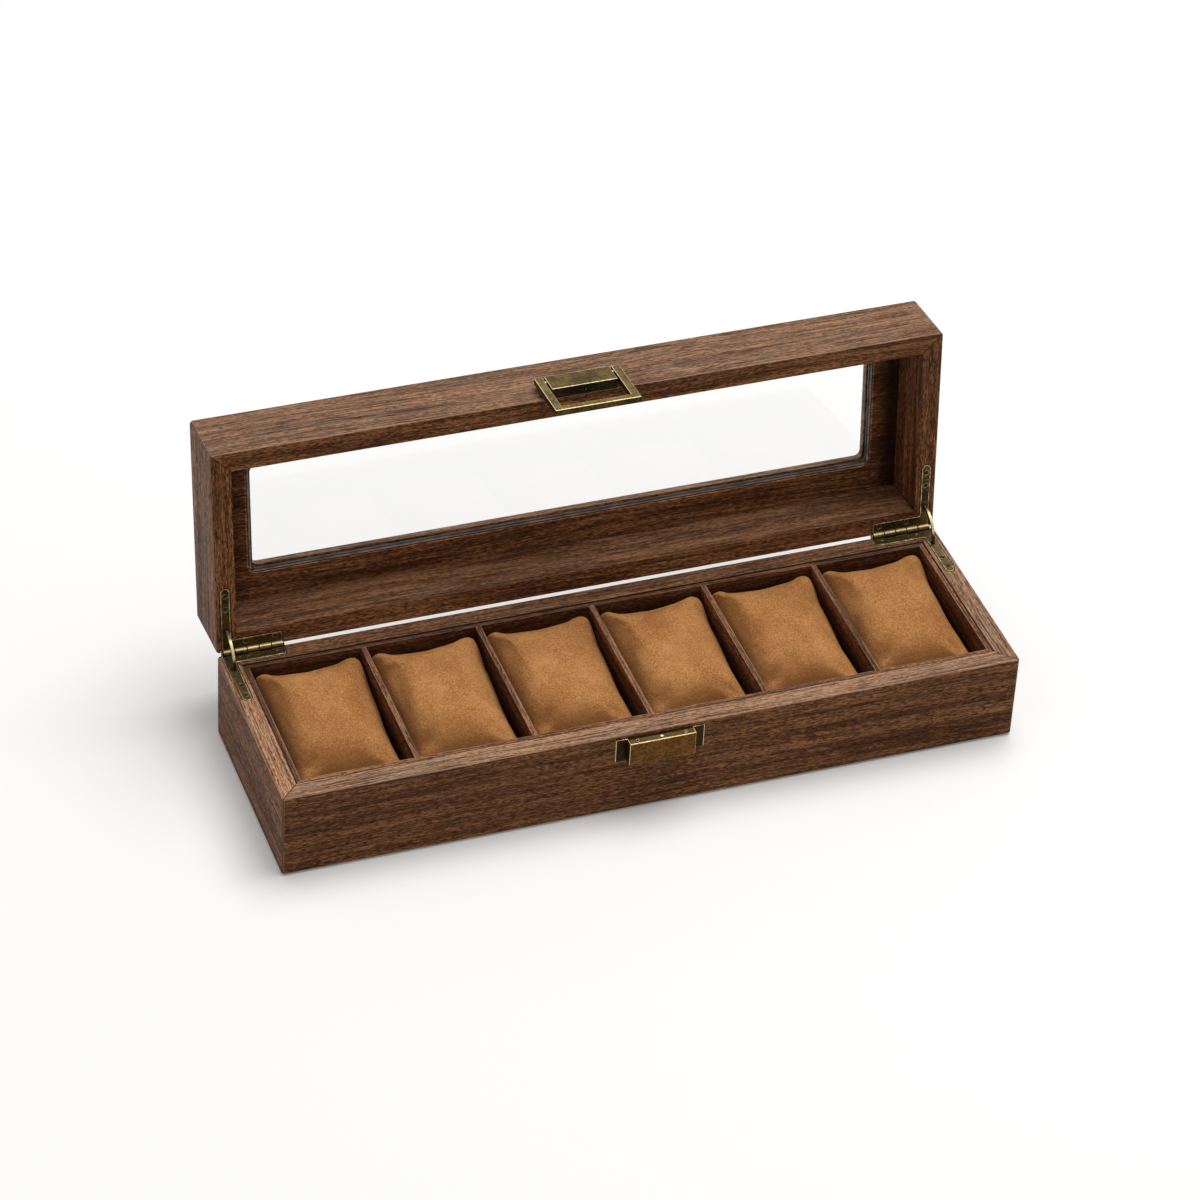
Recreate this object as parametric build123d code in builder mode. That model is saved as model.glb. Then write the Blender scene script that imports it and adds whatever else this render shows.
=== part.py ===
from build123d import *
import math
import os

# A wooden watch box with a glazed lid, six compartments and six loose cushions.
# Millimetres, +X along the length, +Y to the rear, +Z up, origin at the middle of
# the resting face. The lid stands open, as far as its hinge stays let it go.

# Case
box_length = 330.0
box_depth = 98.0
base_height = 41.5
lid_height = 31.0
base_wall = 8.8
lid_wall = 9.2
lid_gap = 0.5
open_angle = 96.0
corner_round = 1.6
arris_round = 0.8

# Underside and floor
felt_thickness = 0.6
felt_inset = 3.0
bottom_thickness = 4.0
bottom_rebate = 4.0
lining_thickness = 1.0
panel_clearance = 0.1

# Compartments
compartment_count = 6
liner_thickness = 2.1
liner_gap = 0.2
liner_drop = 0.3
divider_thickness = 2.3
divider_drop = 0.4
groove_depth = 0.8
groove_clearance = 0.05

# Lid panel and glass
lid_panel_thickness = 6.6
lid_rebate = 4.8
window_border = 22.0
window_round = 4.0
glass_lip = 2.0
glass_lip_thickness = 3.2
glass_thickness = 2.0
glass_clearance = 0.2
bead_width = 1.6

# Hinge leaves
leaf_inset = 2.5
leaf_thickness = 1.2
side_leg_width = 4.2
side_leg_length = 32.0
rear_leg_depth = 6.0
rear_leg_round = 1.0
inner_corner_round = 0.5
leaf_clearance = 0.1
knuckle_count = 5
knuckle_pitch = 5.34
knuckle_radius = 1.9
knuckle_gap = 0.3
knuckle_clearance = 0.3
pin_radius = 0.9
pin_clearance = 0.05
pin_head_radius = 1.3
pin_head_thickness = 0.4
axis_overhang = 0.3

# Curved stays of the hinges
stay_radius = 11.0
stay_width = 1.1
stay_thickness = 1.3
stay_head_width = 2.3
stay_head_angle = 9.0
stay_neck_angle = 10.0
stay_slot_clearance = 0.3
mortise_clearance = 0.5

# Screws
leaf_screw_head = 1.3
leaf_screw_shank = 0.65
leaf_screw_length = 7.0
leaf_screw_places = (21.5, 28.0)
rear_screw_places = (13.0, 26.0)
rear_screw_setback = 4.2
catch_screw_head = 1.0
catch_screw_shank = 0.5
catch_screw_length = 5.5
hasp_screw_head = 1.9
hasp_screw_shank = 0.9
hasp_screw_bite = 3.0
hasp_screw_spacing = 18.0
hasp_screw_height = 4.4
screw_clearance = 0.05

# Catch on the base
clasp_stand = 4.6
catch_length = 39.6
catch_drop = 2.0
nose_length = 29.6
nose_height = 11.2
catch_sheet = 0.9
nose_arris = 0.3
stud_radius = 0.85
stud_edge = 0.15
stud_rise = 0.5
stud_stand = 2.4
rivet_hole_radius = 0.6
rivet_hole_spacing = 21.4

# Hasp on the lid
block_length = 29.3
block_height = 10.8
block_arris = 0.3
socket_radius = 0.95
socket_depth = 1.6
frame_length = 38.2
frame_window_length = 31.2
frame_thickness = 2.9
frame_bar_height = 3.4
frame_nose_gap = 0.5
frame_arris = 0.35
pivot_height = 8.2
hasp_pin_radius = 0.8

# Cushions
cushion_crown_drop = 0.1
cushion_side_gap = 0.7
cushion_end_gap = 0.9
cushion_rest_gap = 0.3

# Places that follow from the sizes
half_length = box_length / 2
half_depth = box_depth / 2
base_foot = felt_thickness
lid_rim = base_height + lid_gap
lid_top = lid_rim + lid_height
tray_floor = base_foot + bottom_thickness + lining_thickness
axis_y = half_depth + axis_overhang
axis_z = base_height + lid_gap / 2
hinge_axis = Axis((0, axis_y, axis_z), (1, 0, 0))
parting = Plane(origin=(0, 0, axis_z))
stay_x = -half_length + leaf_inset + side_leg_width / 2
stay_end_angle = stay_neck_angle + stay_head_angle
liner_length = box_length - 2 * (base_wall + liner_gap)
liner_depth = box_depth - 2 * (base_wall + liner_gap)
tray_length = liner_length - 2 * liner_thickness
tray_depth = liner_depth - 2 * liner_thickness
cell_length = (tray_length - (compartment_count - 1) * divider_thickness) / compartment_count
cell_pitch = cell_length + divider_thickness
front_face = Plane(origin=(0, -half_depth, 0), x_dir=(1, 0, 0), z_dir=(0, -1, 0))
nose_top = base_height - catch_drop
frame_drop = catch_drop + lid_gap + nose_height + frame_nose_gap
sides = ("front", "back", "left", "right")
finished = []


def keep(part, name):
    """Label a finished piece and put it with the others that are written out."""
    part.label = name
    finished.append(part)


def swing_open(part):
    """Turn a piece that is drawn with the lid shut to where the open lid holds it."""
    return part.rotate(hinge_axis, -open_angle)


def mitred_plan(side, length, depth, wall):
    """Corners in plan of one wall of a box frame, cut at 45 degrees at both ends."""
    run, out = (length / 2, depth / 2) if side in ("front", "back") else (depth / 2, length / 2)
    corners = [(-run, -out), (run, -out), (run - wall, wall - out), (wall - run, wall - out)]
    if side == "back":
        return [(-x, -y) for x, y in corners]
    if side == "left":
        return [(y, -x) for x, y in corners]
    if side == "right":
        return [(-y, x) for x, y in corners]
    return corners


def frame_wall(side, wall, foot, height):
    """One mitred wall of the case, with the outer arrises and corners rounded."""
    with BuildPart() as blank:
        with BuildSketch(Plane.XY.offset(foot)):
            RectangleRounded(box_length, box_depth, corner_round)
        extrude(amount=height)
        rims = blank.edges().group_by(Axis.Z)
        fillet(rims[0] + rims[-1], arris_round)
        with BuildSketch(Plane.XY.offset(foot)):
            Polygon(*mitred_plan(side, box_length, box_depth, wall), align=None)
        extrude(amount=height, mode=Mode.INTERSECT)
    return blank.part


def disc_on_axis(start, radius):
    """A round face square to the hinge axis, at x = start."""
    with BuildSketch(Plane.YZ.offset(start)) as disc:
        with Locations((axis_y, axis_z)):
            Circle(radius)
    return disc.sketch


def knuckle_start(index):
    """Where a hinge knuckle of the left hinge begins, counted inwards from the side."""
    return -half_length + leaf_inset + index * knuckle_pitch


def draw_leaf(margin):
    """Draw the L of the left hinge's leaf in plan, grown all round by the margin."""
    outer = -half_length + leaf_inset - margin
    inner = -half_length + leaf_inset + side_leg_width + margin
    end = knuckle_start(knuckle_count) + margin
    tip = half_depth - side_leg_length - margin
    front = half_depth - rear_leg_depth - margin
    nearly_half = 0.49 * (inner - outer)
    with BuildLine() as outline:
        FilletPolyline(
            (outer, half_depth),
            (outer, tip),
            (inner, tip),
            (inner, front),
            (end, front),
            (end, half_depth),
            radius=[nearly_half, nearly_half, inner_corner_round, rear_leg_round + margin],
        )
        Line((end, half_depth), (outer, half_depth))
    make_face(outline.edges())


def draw_stay(start, end, thickness):
    """Draw a band of the stay's circle seen from the side, between two angles."""
    inner = stay_radius - thickness / 2
    outer = stay_radius + thickness / 2

    def at(radius, angle):
        turn = math.radians(angle)
        return (axis_y - radius * math.cos(turn), axis_z + radius * math.sin(turn))

    middle = (start + end) / 2
    with BuildLine() as outline:
        ThreePointArc(at(outer, start), at(outer, middle), at(outer, end))
        Line(at(outer, end), at(inner, end))
        ThreePointArc(at(inner, end), at(inner, middle), at(inner, start))
        Line(at(inner, start), at(outer, start))
    make_face(outline.edges())


def leaf_screw_points(height):
    """Places of the left leaf's screws: two in the side leg, two in the rear leg."""
    side = [(stay_x, half_depth - place, height) for place in leaf_screw_places]
    rear = [(-half_length + place, half_depth - rear_screw_setback, height) for place in rear_screw_places]
    return side + rear


def countersunk_screw(head, shank, length):
    """A flat-headed screw with its head at the origin and its shank along -Z."""
    with BuildPart() as screw:
        with BuildSketch(Plane.XZ):
            with BuildLine():
                Polyline((0, 0), (head, 0), (shank, shank - head), (shank, shank - length), (0, -length), close=True)
            make_face()
        revolve(axis=Axis.Z)
    return screw.part


# Seat of both hinges, as it is cut from the base, and turned over from the lid
with BuildPart() as hinge_seat:
    with BuildSketch(Plane.XY.offset(base_height - leaf_thickness)):
        draw_leaf(leaf_clearance)
    extrude(amount=leaf_thickness + lid_gap / 2)
    barrel_end_room = knuckle_clearance + pin_head_thickness
    barrel_length = knuckle_count * knuckle_pitch
    barrel = disc_on_axis(knuckle_start(0) - barrel_end_room, knuckle_radius + knuckle_clearance)
    extrude(barrel, amount=barrel_length + 2 * barrel_end_room)
    deepest = math.radians(stay_end_angle + open_angle / 2)
    mortise_front = stay_radius + stay_thickness / 2 + mortise_clearance
    mortise_back = (stay_radius - stay_thickness / 2) * math.cos(deepest) - mortise_clearance
    mortise_depth = (stay_radius + stay_thickness / 2) * math.sin(deepest) + mortise_clearance
    with BuildSketch(Plane.XY.offset(axis_z)):
        with Locations((stay_x, axis_y - mortise_front)):
            Rectangle(
                stay_head_width + mortise_clearance,
                mortise_front - mortise_back,
                align=(Align.CENTER, Align.MIN),
            )
    extrude(amount=-mortise_depth)
    with Locations(*leaf_screw_points(base_height)):
        Hole(leaf_screw_shank + screw_clearance, leaf_screw_length + screw_clearance, mode=Mode.ADD)
    mirror(about=Plane.YZ)

# Base walls
base_bottom_plan = (box_length - 2 * (base_wall - bottom_rebate), box_depth - 2 * (base_wall - bottom_rebate))
catch_screw_height = nose_top - nose_height / 2
catch_screw_x = (catch_length + nose_length) / 4
for side in sides:
    with BuildPart() as base_side:
        add(frame_wall(side, base_wall, base_foot, base_height - base_foot))
        with BuildSketch(Plane.XY.offset(base_foot)):
            Rectangle(*base_bottom_plan)
        extrude(amount=bottom_thickness, mode=Mode.SUBTRACT)
        if side == "front":
            with Locations(front_face):
                with Locations((catch_screw_x, catch_screw_height), (-catch_screw_x, catch_screw_height)):
                    Hole(catch_screw_shank + screw_clearance, catch_screw_length)
        else:
            add(hinge_seat.part, mode=Mode.SUBTRACT)
    keep(base_side.part, f"base_{side}_wall")

# Bottom panel, let into the walls from below
with BuildPart() as base_bottom_panel:
    with BuildSketch(Plane.XY.offset(base_foot)):
        Rectangle(base_bottom_plan[0] - 2 * panel_clearance, base_bottom_plan[1] - 2 * panel_clearance)
    extrude(amount=bottom_thickness)
keep(base_bottom_panel.part, "base_bottom_panel")

# Felt that the box stands on
with BuildPart() as base_felt:
    with BuildSketch(Plane.XY):
        RectangleRounded(box_length - 2 * felt_inset, box_depth - 2 * felt_inset, corner_round)
    extrude(amount=felt_thickness)
keep(base_felt.part, "base_felt")

# Lining of the tray floor
with BuildPart() as floor_lining:
    with BuildSketch(Plane.XY.offset(base_foot + bottom_thickness)):
        Rectangle(box_length - 2 * (base_wall + panel_clearance), box_depth - 2 * (base_wall + panel_clearance))
    extrude(amount=lining_thickness)
keep(floor_lining.part, "floor_lining")

# Liner boards, mitred inside the walls, with housings for the dividers
divider_places = [(index - compartment_count / 2) * cell_pitch for index in range(1, compartment_count)]
liner_height = base_height - liner_drop - tray_floor
for side in sides:
    with BuildPart() as liner:
        with BuildSketch(Plane.XY.offset(tray_floor)):
            Polygon(*mitred_plan(side, liner_length, liner_depth, liner_thickness), align=None)
            if side in ("front", "back"):
                with Locations(*[(x, 0) for x in divider_places]):
                    Rectangle(
                        divider_thickness + 2 * groove_clearance,
                        tray_depth + 2 * groove_depth,
                        mode=Mode.SUBTRACT,
                    )
        extrude(amount=liner_height)
    keep(liner.part, f"liner_{side}")

# Dividers, let into the front and back liners
for index, place in enumerate(divider_places, start=1):
    with BuildPart() as divider:
        with BuildSketch(Plane.XY.offset(tray_floor)):
            with Locations((place, 0)):
                Rectangle(divider_thickness, tray_depth + 2 * (groove_depth - groove_clearance))
        extrude(amount=base_height - divider_drop - tray_floor)
    keep(divider.part, f"divider_{index}")

# Lid walls, rebated inside at the top for the panel
lid_panel_plan = (box_length - 2 * (lid_wall - lid_rebate), box_depth - 2 * (lid_wall - lid_rebate))
hasp_screw_points = [(x, lid_rim + hasp_screw_height) for x in (-hasp_screw_spacing / 2, hasp_screw_spacing / 2)]
inner_front_face = Plane(origin=(0, lid_wall - half_depth, 0), x_dir=(-1, 0, 0), z_dir=(0, 1, 0))
for side in sides:
    with BuildPart() as lid_side:
        add(frame_wall(side, lid_wall, lid_rim, lid_height))
        with BuildSketch(Plane.XY.offset(lid_top - lid_panel_thickness)):
            Rectangle(*lid_panel_plan)
        extrude(amount=lid_panel_thickness, mode=Mode.SUBTRACT)
        if side == "front":
            with Locations(inner_front_face):
                with Locations(*hasp_screw_points):
                    CounterSinkHole(
                        hasp_screw_shank + screw_clearance,
                        hasp_screw_head + screw_clearance,
                        depth=2 * lid_wall,
                        counter_sink_angle=90,
                    )
        else:
            add(mirror(hinge_seat.part, about=parting), mode=Mode.SUBTRACT)
    keep(swing_open(lid_side.part), f"lid_{side}_wall")

# Lid panel with its window, rebated from inside for the glass
window_plan = (box_length - 2 * window_border, box_depth - 2 * window_border)
sight_plan = (window_plan[0] - 2 * glass_lip, window_plan[1] - 2 * glass_lip)
with BuildPart() as lid_top_panel:
    with BuildSketch(Plane.XY.offset(lid_top)):
        Rectangle(lid_panel_plan[0] - 2 * panel_clearance, lid_panel_plan[1] - 2 * panel_clearance)
        RectangleRounded(*sight_plan, window_round - glass_lip / 2, mode=Mode.SUBTRACT)
    extrude(amount=-lid_panel_thickness)
    with BuildSketch(Plane.XY.offset(lid_top - glass_lip_thickness)):
        RectangleRounded(*window_plan, window_round)
    extrude(amount=-lid_panel_thickness, mode=Mode.SUBTRACT)
keep(swing_open(lid_top_panel.part), "lid_top_panel")

# Glass
with BuildPart() as lid_glass:
    with BuildSketch(Plane.XY.offset(lid_top - glass_lip_thickness)):
        RectangleRounded(
            window_plan[0] - 2 * glass_clearance,
            window_plan[1] - 2 * glass_clearance,
            window_round - glass_clearance,
        )
    extrude(amount=-glass_thickness)
keep(swing_open(lid_glass.part), "lid_glass")

# Bead that holds the glass in its rebate
with BuildPart() as glass_bead:
    with BuildSketch(Plane.XY.offset(lid_top - glass_lip_thickness - glass_thickness)):
        RectangleRounded(
            window_plan[0] - 2 * panel_clearance,
            window_plan[1] - 2 * panel_clearance,
            window_round - panel_clearance,
        )
        RectangleRounded(
            window_plan[0] - 2 * bead_width,
            window_plan[1] - 2 * bead_width,
            window_round - bead_width,
            mode=Mode.SUBTRACT,
        )
    extrude(amount=glass_lip_thickness + glass_thickness - lid_panel_thickness)
keep(swing_open(glass_bead.part), "glass_bead")


def hinge_leaf(own_knuckles, other_knuckles):
    """One L-shaped leaf of the left hinge, drawn as the base carries it."""
    with BuildPart() as leaf:
        with BuildSketch(Plane.XY.offset(base_height - leaf_thickness)):
            draw_leaf(0)
        extrude(amount=leaf_thickness)
        for index in other_knuckles:
            notch = disc_on_axis(knuckle_start(index) - knuckle_gap / 2, knuckle_radius + knuckle_clearance)
            extrude(notch, amount=knuckle_pitch + knuckle_gap, mode=Mode.SUBTRACT)
        for index in own_knuckles:
            knuckle = disc_on_axis(knuckle_start(index) + knuckle_gap / 2, knuckle_radius)
            extrude(knuckle, amount=knuckle_pitch - knuckle_gap)
        bore = disc_on_axis(knuckle_start(0), pin_radius + pin_clearance)
        extrude(bore, amount=barrel_length, mode=Mode.SUBTRACT)
        slot_front = stay_radius + stay_thickness / 2 + stay_slot_clearance
        drop = lid_gap / 2 + leaf_thickness
        slot_back = math.sqrt((stay_radius - stay_thickness / 2) ** 2 - drop**2) - stay_slot_clearance
        with BuildSketch(Plane.XY.offset(base_height)):
            with Locations((stay_x, axis_y - slot_front)):
                Rectangle(
                    stay_width + 2 * stay_slot_clearance,
                    slot_front - slot_back,
                    align=(Align.CENTER, Align.MIN),
                )
        extrude(amount=-leaf_thickness, mode=Mode.SUBTRACT)
        with Locations(*leaf_screw_points(base_height)):
            CounterSinkHole(
                leaf_screw_shank + screw_clearance,
                leaf_screw_head + screw_clearance,
                depth=2 * leaf_thickness,
                counter_sink_angle=90,
            )
    return leaf.part


# Hinges: leaves, pins, curved stays and screws, left drawn and right mirrored
even_knuckles = range(0, knuckle_count, 2)
odd_knuckles = range(1, knuckle_count, 2)
base_leaf = hinge_leaf(even_knuckles, odd_knuckles)
lid_leaf = swing_open(mirror(hinge_leaf(odd_knuckles, even_knuckles), about=parting))

with BuildPart() as hinge_pin:
    extrude(disc_on_axis(knuckle_start(0), pin_radius), amount=barrel_length)
    extrude(disc_on_axis(knuckle_start(0), pin_head_radius), amount=-pin_head_thickness)
    extrude(disc_on_axis(knuckle_start(knuckle_count), pin_head_radius), amount=pin_head_thickness)

with BuildPart() as hinge_stay:
    with BuildSketch(Plane.YZ.offset(stay_x)):
        draw_stay(-stay_end_angle, open_angle + stay_end_angle, stay_thickness)
    extrude(amount=stay_width / 2, both=True)
    with BuildSketch(Plane.YZ.offset(stay_x)):
        draw_stay(-stay_end_angle, -stay_neck_angle, stay_thickness)
        draw_stay(open_angle + stay_neck_angle, open_angle + stay_end_angle, stay_thickness)
    extrude(amount=stay_head_width / 2, both=True)

for name, left in (
    ("hinge_base_leaf", base_leaf),
    ("hinge_lid_leaf", lid_leaf),
    ("hinge_pin", hinge_pin.part),
    ("hinge_stay", hinge_stay.part),
):
    keep(left, f"{name}_left")
    keep(mirror(left, about=Plane.YZ), f"{name}_right")

leaf_screw = countersunk_screw(leaf_screw_head, leaf_screw_shank, leaf_screw_length)
with BuildPart() as base_leaf_screws:
    with Locations(*leaf_screw_points(base_height)):
        add(leaf_screw)
    mirror(about=Plane.YZ)
keep(base_leaf_screws.part, "base_leaf_screws")
keep(swing_open(mirror(base_leaf_screws.part, about=parting)), "lid_leaf_screws")

# Catch on the front of the base: a folded plate with a hollow nose and two wings
with BuildPart() as catch_plate:
    with BuildSketch(front_face):
        with Locations((0, nose_top)):
            Rectangle(nose_length, nose_height, align=(Align.CENTER, Align.MAX))
    extrude(amount=clasp_stand)
    fillet(catch_plate.faces().sort_by(Axis.Y)[0].edges(), nose_arris)
    with BuildSketch(front_face):
        with Locations((0, nose_top)):
            Rectangle(catch_length, nose_height, align=(Align.CENTER, Align.MAX))
    extrude(amount=catch_sheet)
    with BuildSketch(front_face):
        with Locations((0, nose_top - catch_sheet)):
            Rectangle(nose_length - 2 * catch_sheet, nose_height, align=(Align.CENTER, Align.MAX))
    extrude(amount=clasp_stand - catch_sheet, mode=Mode.SUBTRACT)
    with Locations(front_face.offset(catch_sheet)):
        with Locations((catch_screw_x, catch_screw_height), (-catch_screw_x, catch_screw_height)):
            CounterSinkHole(
                catch_screw_shank + screw_clearance,
                catch_screw_head + screw_clearance,
                depth=2 * catch_sheet,
                counter_sink_angle=90,
            )
    with Locations(Plane.XY.offset(nose_top)):
        with Locations(
            (-rivet_hole_spacing / 2, -half_depth - stud_stand),
            (rivet_hole_spacing / 2, -half_depth - stud_stand),
        ):
            Hole(rivet_hole_radius, 2 * catch_sheet)
        with Locations((0, -half_depth - stud_stand)):
            Hole(stud_radius + screw_clearance, 2 * catch_sheet)
keep(catch_plate.part, "catch_plate")

# Domed stud riveted in the top of the nose
with BuildPart() as catch_stud:
    with BuildSketch(Plane.XZ.offset(half_depth + stud_stand)):
        with BuildLine():
            TangentArc((0, nose_top + stud_rise), (stud_radius, nose_top + stud_edge), tangent=(1, 0))
            Polyline(
                (stud_radius, nose_top + stud_edge),
                (stud_radius, nose_top - catch_sheet),
                (0, nose_top - catch_sheet),
                (0, nose_top + stud_rise),
            )
        make_face()
    revolve(axis=Axis((0, -half_depth - stud_stand, 0), (0, 0, 1)))
keep(catch_stud.part, "catch_stud")

catch_screw = countersunk_screw(catch_screw_head, catch_screw_shank, catch_screw_length)
with BuildPart() as catch_screws:
    with Locations(front_face.offset(catch_sheet)):
        with Locations((catch_screw_x, catch_screw_height), (-catch_screw_x, catch_screw_height)):
            add(catch_screw)
keep(catch_screws.part, "catch_screws")

# Block of the hasp on the front of the lid
pivot_stand = clasp_stand - frame_thickness / 2
with BuildPart() as hasp_block:
    with BuildSketch(front_face):
        with Locations((0, lid_rim)):
            Rectangle(block_length, block_height, align=(Align.CENTER, Align.MIN))
    extrude(amount=clasp_stand)
    fillet(hasp_block.faces().sort_by(Axis.Y)[0].edges(), block_arris)
    with Locations(Plane(origin=(0, -half_depth - stud_stand, lid_rim), z_dir=(0, 0, -1))):
        Hole(socket_radius, socket_depth)
    with Locations(Plane(origin=(0, -half_depth, 0), x_dir=(-1, 0, 0), z_dir=(0, 1, 0))):
        with Locations(*hasp_screw_points):
            Hole(hasp_screw_shank + screw_clearance, hasp_screw_bite + screw_clearance)
    with BuildSketch(Plane.YZ.offset(-block_length / 2)):
        with Locations((-half_depth - pivot_stand, lid_rim + pivot_height)):
            Circle(hasp_pin_radius + pin_clearance)
    extrude(amount=block_length, mode=Mode.SUBTRACT)
keep(swing_open(hasp_block.part), "hasp_block")

with BuildPart() as hasp_pin:
    with BuildSketch(Plane.YZ.offset(-frame_length / 2)):
        with Locations((-half_depth - pivot_stand, lid_rim + pivot_height)):
            Circle(hasp_pin_radius)
    extrude(amount=frame_length)
keep(swing_open(hasp_pin.part), "hasp_pin")

# Hinged frame of the hasp: two arms beside the block and a bar under the nose
with BuildPart() as hasp_frame:
    with BuildSketch(front_face.offset(clasp_stand - frame_thickness)):
        with Locations((0, lid_rim + block_height)):
            Rectangle(
                frame_length,
                block_height + frame_drop + frame_bar_height,
                align=(Align.CENTER, Align.MAX),
            )
            Rectangle(
                frame_window_length,
                block_height + frame_drop,
                align=(Align.CENTER, Align.MAX),
                mode=Mode.SUBTRACT,
            )
    extrude(amount=frame_thickness)
    fillet(hasp_frame.faces().sort_by(Axis.Y)[0].edges(), frame_arris)
    tail = hasp_frame.edges().filter_by(Axis.X).group_by(Axis.Y)[-1].sort_by(Axis.Z)[-2:]
    fillet(tail, frame_arris)
    with BuildSketch(Plane.YZ.offset(-frame_length / 2)):
        with Locations((-half_depth - pivot_stand, lid_rim + pivot_height)):
            Circle(hasp_pin_radius + pin_clearance)
    extrude(amount=frame_length, mode=Mode.SUBTRACT)
keep(swing_open(hasp_frame.part), "hasp_frame")

# Screws that hold the block, driven from inside the lid
hasp_screw = countersunk_screw(hasp_screw_head, hasp_screw_shank, lid_wall + hasp_screw_bite)
with BuildPart() as hasp_screws:
    with Locations(inner_front_face):
        with Locations(*hasp_screw_points):
            add(hasp_screw)
keep(swing_open(hasp_screws.part), "hasp_screws")

# Cushions: lofted along the depth, with a crowned top that falls to the front,
# sides that draw in between the ends, and ends gathered to a smaller seam.
# Each station: place along the depth, half width, underside, shoulder and crown,
# as shares of the cushion's half depth, half width and height. The underside sags
# below the floor of the tray and is cut flat there, as a cushion lies flat on it.
cushion_stations = (
    (-1.00, 0.93, 0.34, 0.56, 0.64),
    (-0.74, 0.94, -0.04, 0.71, 0.85),
    (0.72, 0.95, -0.06, 0.86, 0.955),
    (1.00, 0.98, 0.52, 0.89, 0.93),
)
cushion_floor = tray_floor + cushion_rest_gap
cushion_height = base_height - cushion_crown_drop - cushion_floor
cushion_half_width = cell_length / 2 - cushion_side_gap
cushion_half_depth = tray_depth / 2 - cushion_end_gap
foot_tuck = 0.88
foot_rise = 0.25
shoulder_tuck = 0.98
for index in range(compartment_count):
    middle = (index - (compartment_count - 1) / 2) * cell_pitch
    with BuildPart() as cushion:
        for along, width, low, shoulder, crown in cushion_stations:
            half = width * cushion_half_width
            foot = foot_tuck * half
            rim = shoulder_tuck * half
            bottom = cushion_floor + low * cushion_height
            top = cushion_floor + shoulder * cushion_height
            peak = cushion_floor + crown * cushion_height
            waist = bottom + foot_rise * (top - bottom)
            station = Plane(origin=(middle, along * cushion_half_depth, 0), x_dir=(1, 0, 0), z_dir=(0, -1, 0))
            with BuildSketch(station):
                with BuildLine():
                    Polyline((-rim, top), (-half, waist), (-foot, bottom), (foot, bottom), (half, waist), (rim, top))
                    ThreePointArc((rim, top), (0, peak), (-rim, top))
                make_face()
        loft()
        split(bisect_by=Plane.XY.offset(cushion_floor), keep=Keep.TOP)
    keep(cushion.part, f"cushion_{index + 1}")

os.makedirs("parts", exist_ok=True)
for piece in finished:
    export_step(piece, f"parts/{piece.label}.step")
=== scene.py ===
"""A wooden watch box with a glazed lid: its finishes, cushions and small fittings.

Sizes are metres in the frame of the model: x along the box, y to the rear, z up,
with the origin at the middle of the resting face. The lid stands open.
"""

import logging
import math
from dataclasses import dataclass, field
from enum import Enum
from typing import NamedTuple, Sequence, Union

import bpy
import numpy as np
from mathutils import Matrix, Vector


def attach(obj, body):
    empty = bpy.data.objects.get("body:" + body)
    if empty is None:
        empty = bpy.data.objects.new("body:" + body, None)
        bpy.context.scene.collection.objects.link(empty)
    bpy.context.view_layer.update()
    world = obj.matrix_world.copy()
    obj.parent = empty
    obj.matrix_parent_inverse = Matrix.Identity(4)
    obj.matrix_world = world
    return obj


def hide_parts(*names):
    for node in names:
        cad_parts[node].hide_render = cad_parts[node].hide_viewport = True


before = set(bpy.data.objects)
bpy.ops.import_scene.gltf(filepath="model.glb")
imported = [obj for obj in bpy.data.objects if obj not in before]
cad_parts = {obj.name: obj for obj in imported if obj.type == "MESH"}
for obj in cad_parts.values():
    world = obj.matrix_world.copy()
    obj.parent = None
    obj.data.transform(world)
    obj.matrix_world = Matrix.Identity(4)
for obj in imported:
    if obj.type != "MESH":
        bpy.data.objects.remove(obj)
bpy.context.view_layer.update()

Socket = bpy.types.NodeSocket
Triple = tuple[float, float, float]
Value = Union[float, Triple, Socket]
Pair = tuple[float, float]
Shape = tuple[np.ndarray, list[list[int]]]
MM = 0.001
FULL_TURN = 2 * math.pi
STILL: Triple = (0.0, 0.0, 0.0)
# dark tones of cloth that stand for painted shade in recesses
PAINTED_SHADE_CLOTH: tuple[Triple, Triple] = ((0.006, 0.004, 0.003), (0.020, 0.013, 0.009))
log = logging.getLogger("watch_box")


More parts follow.
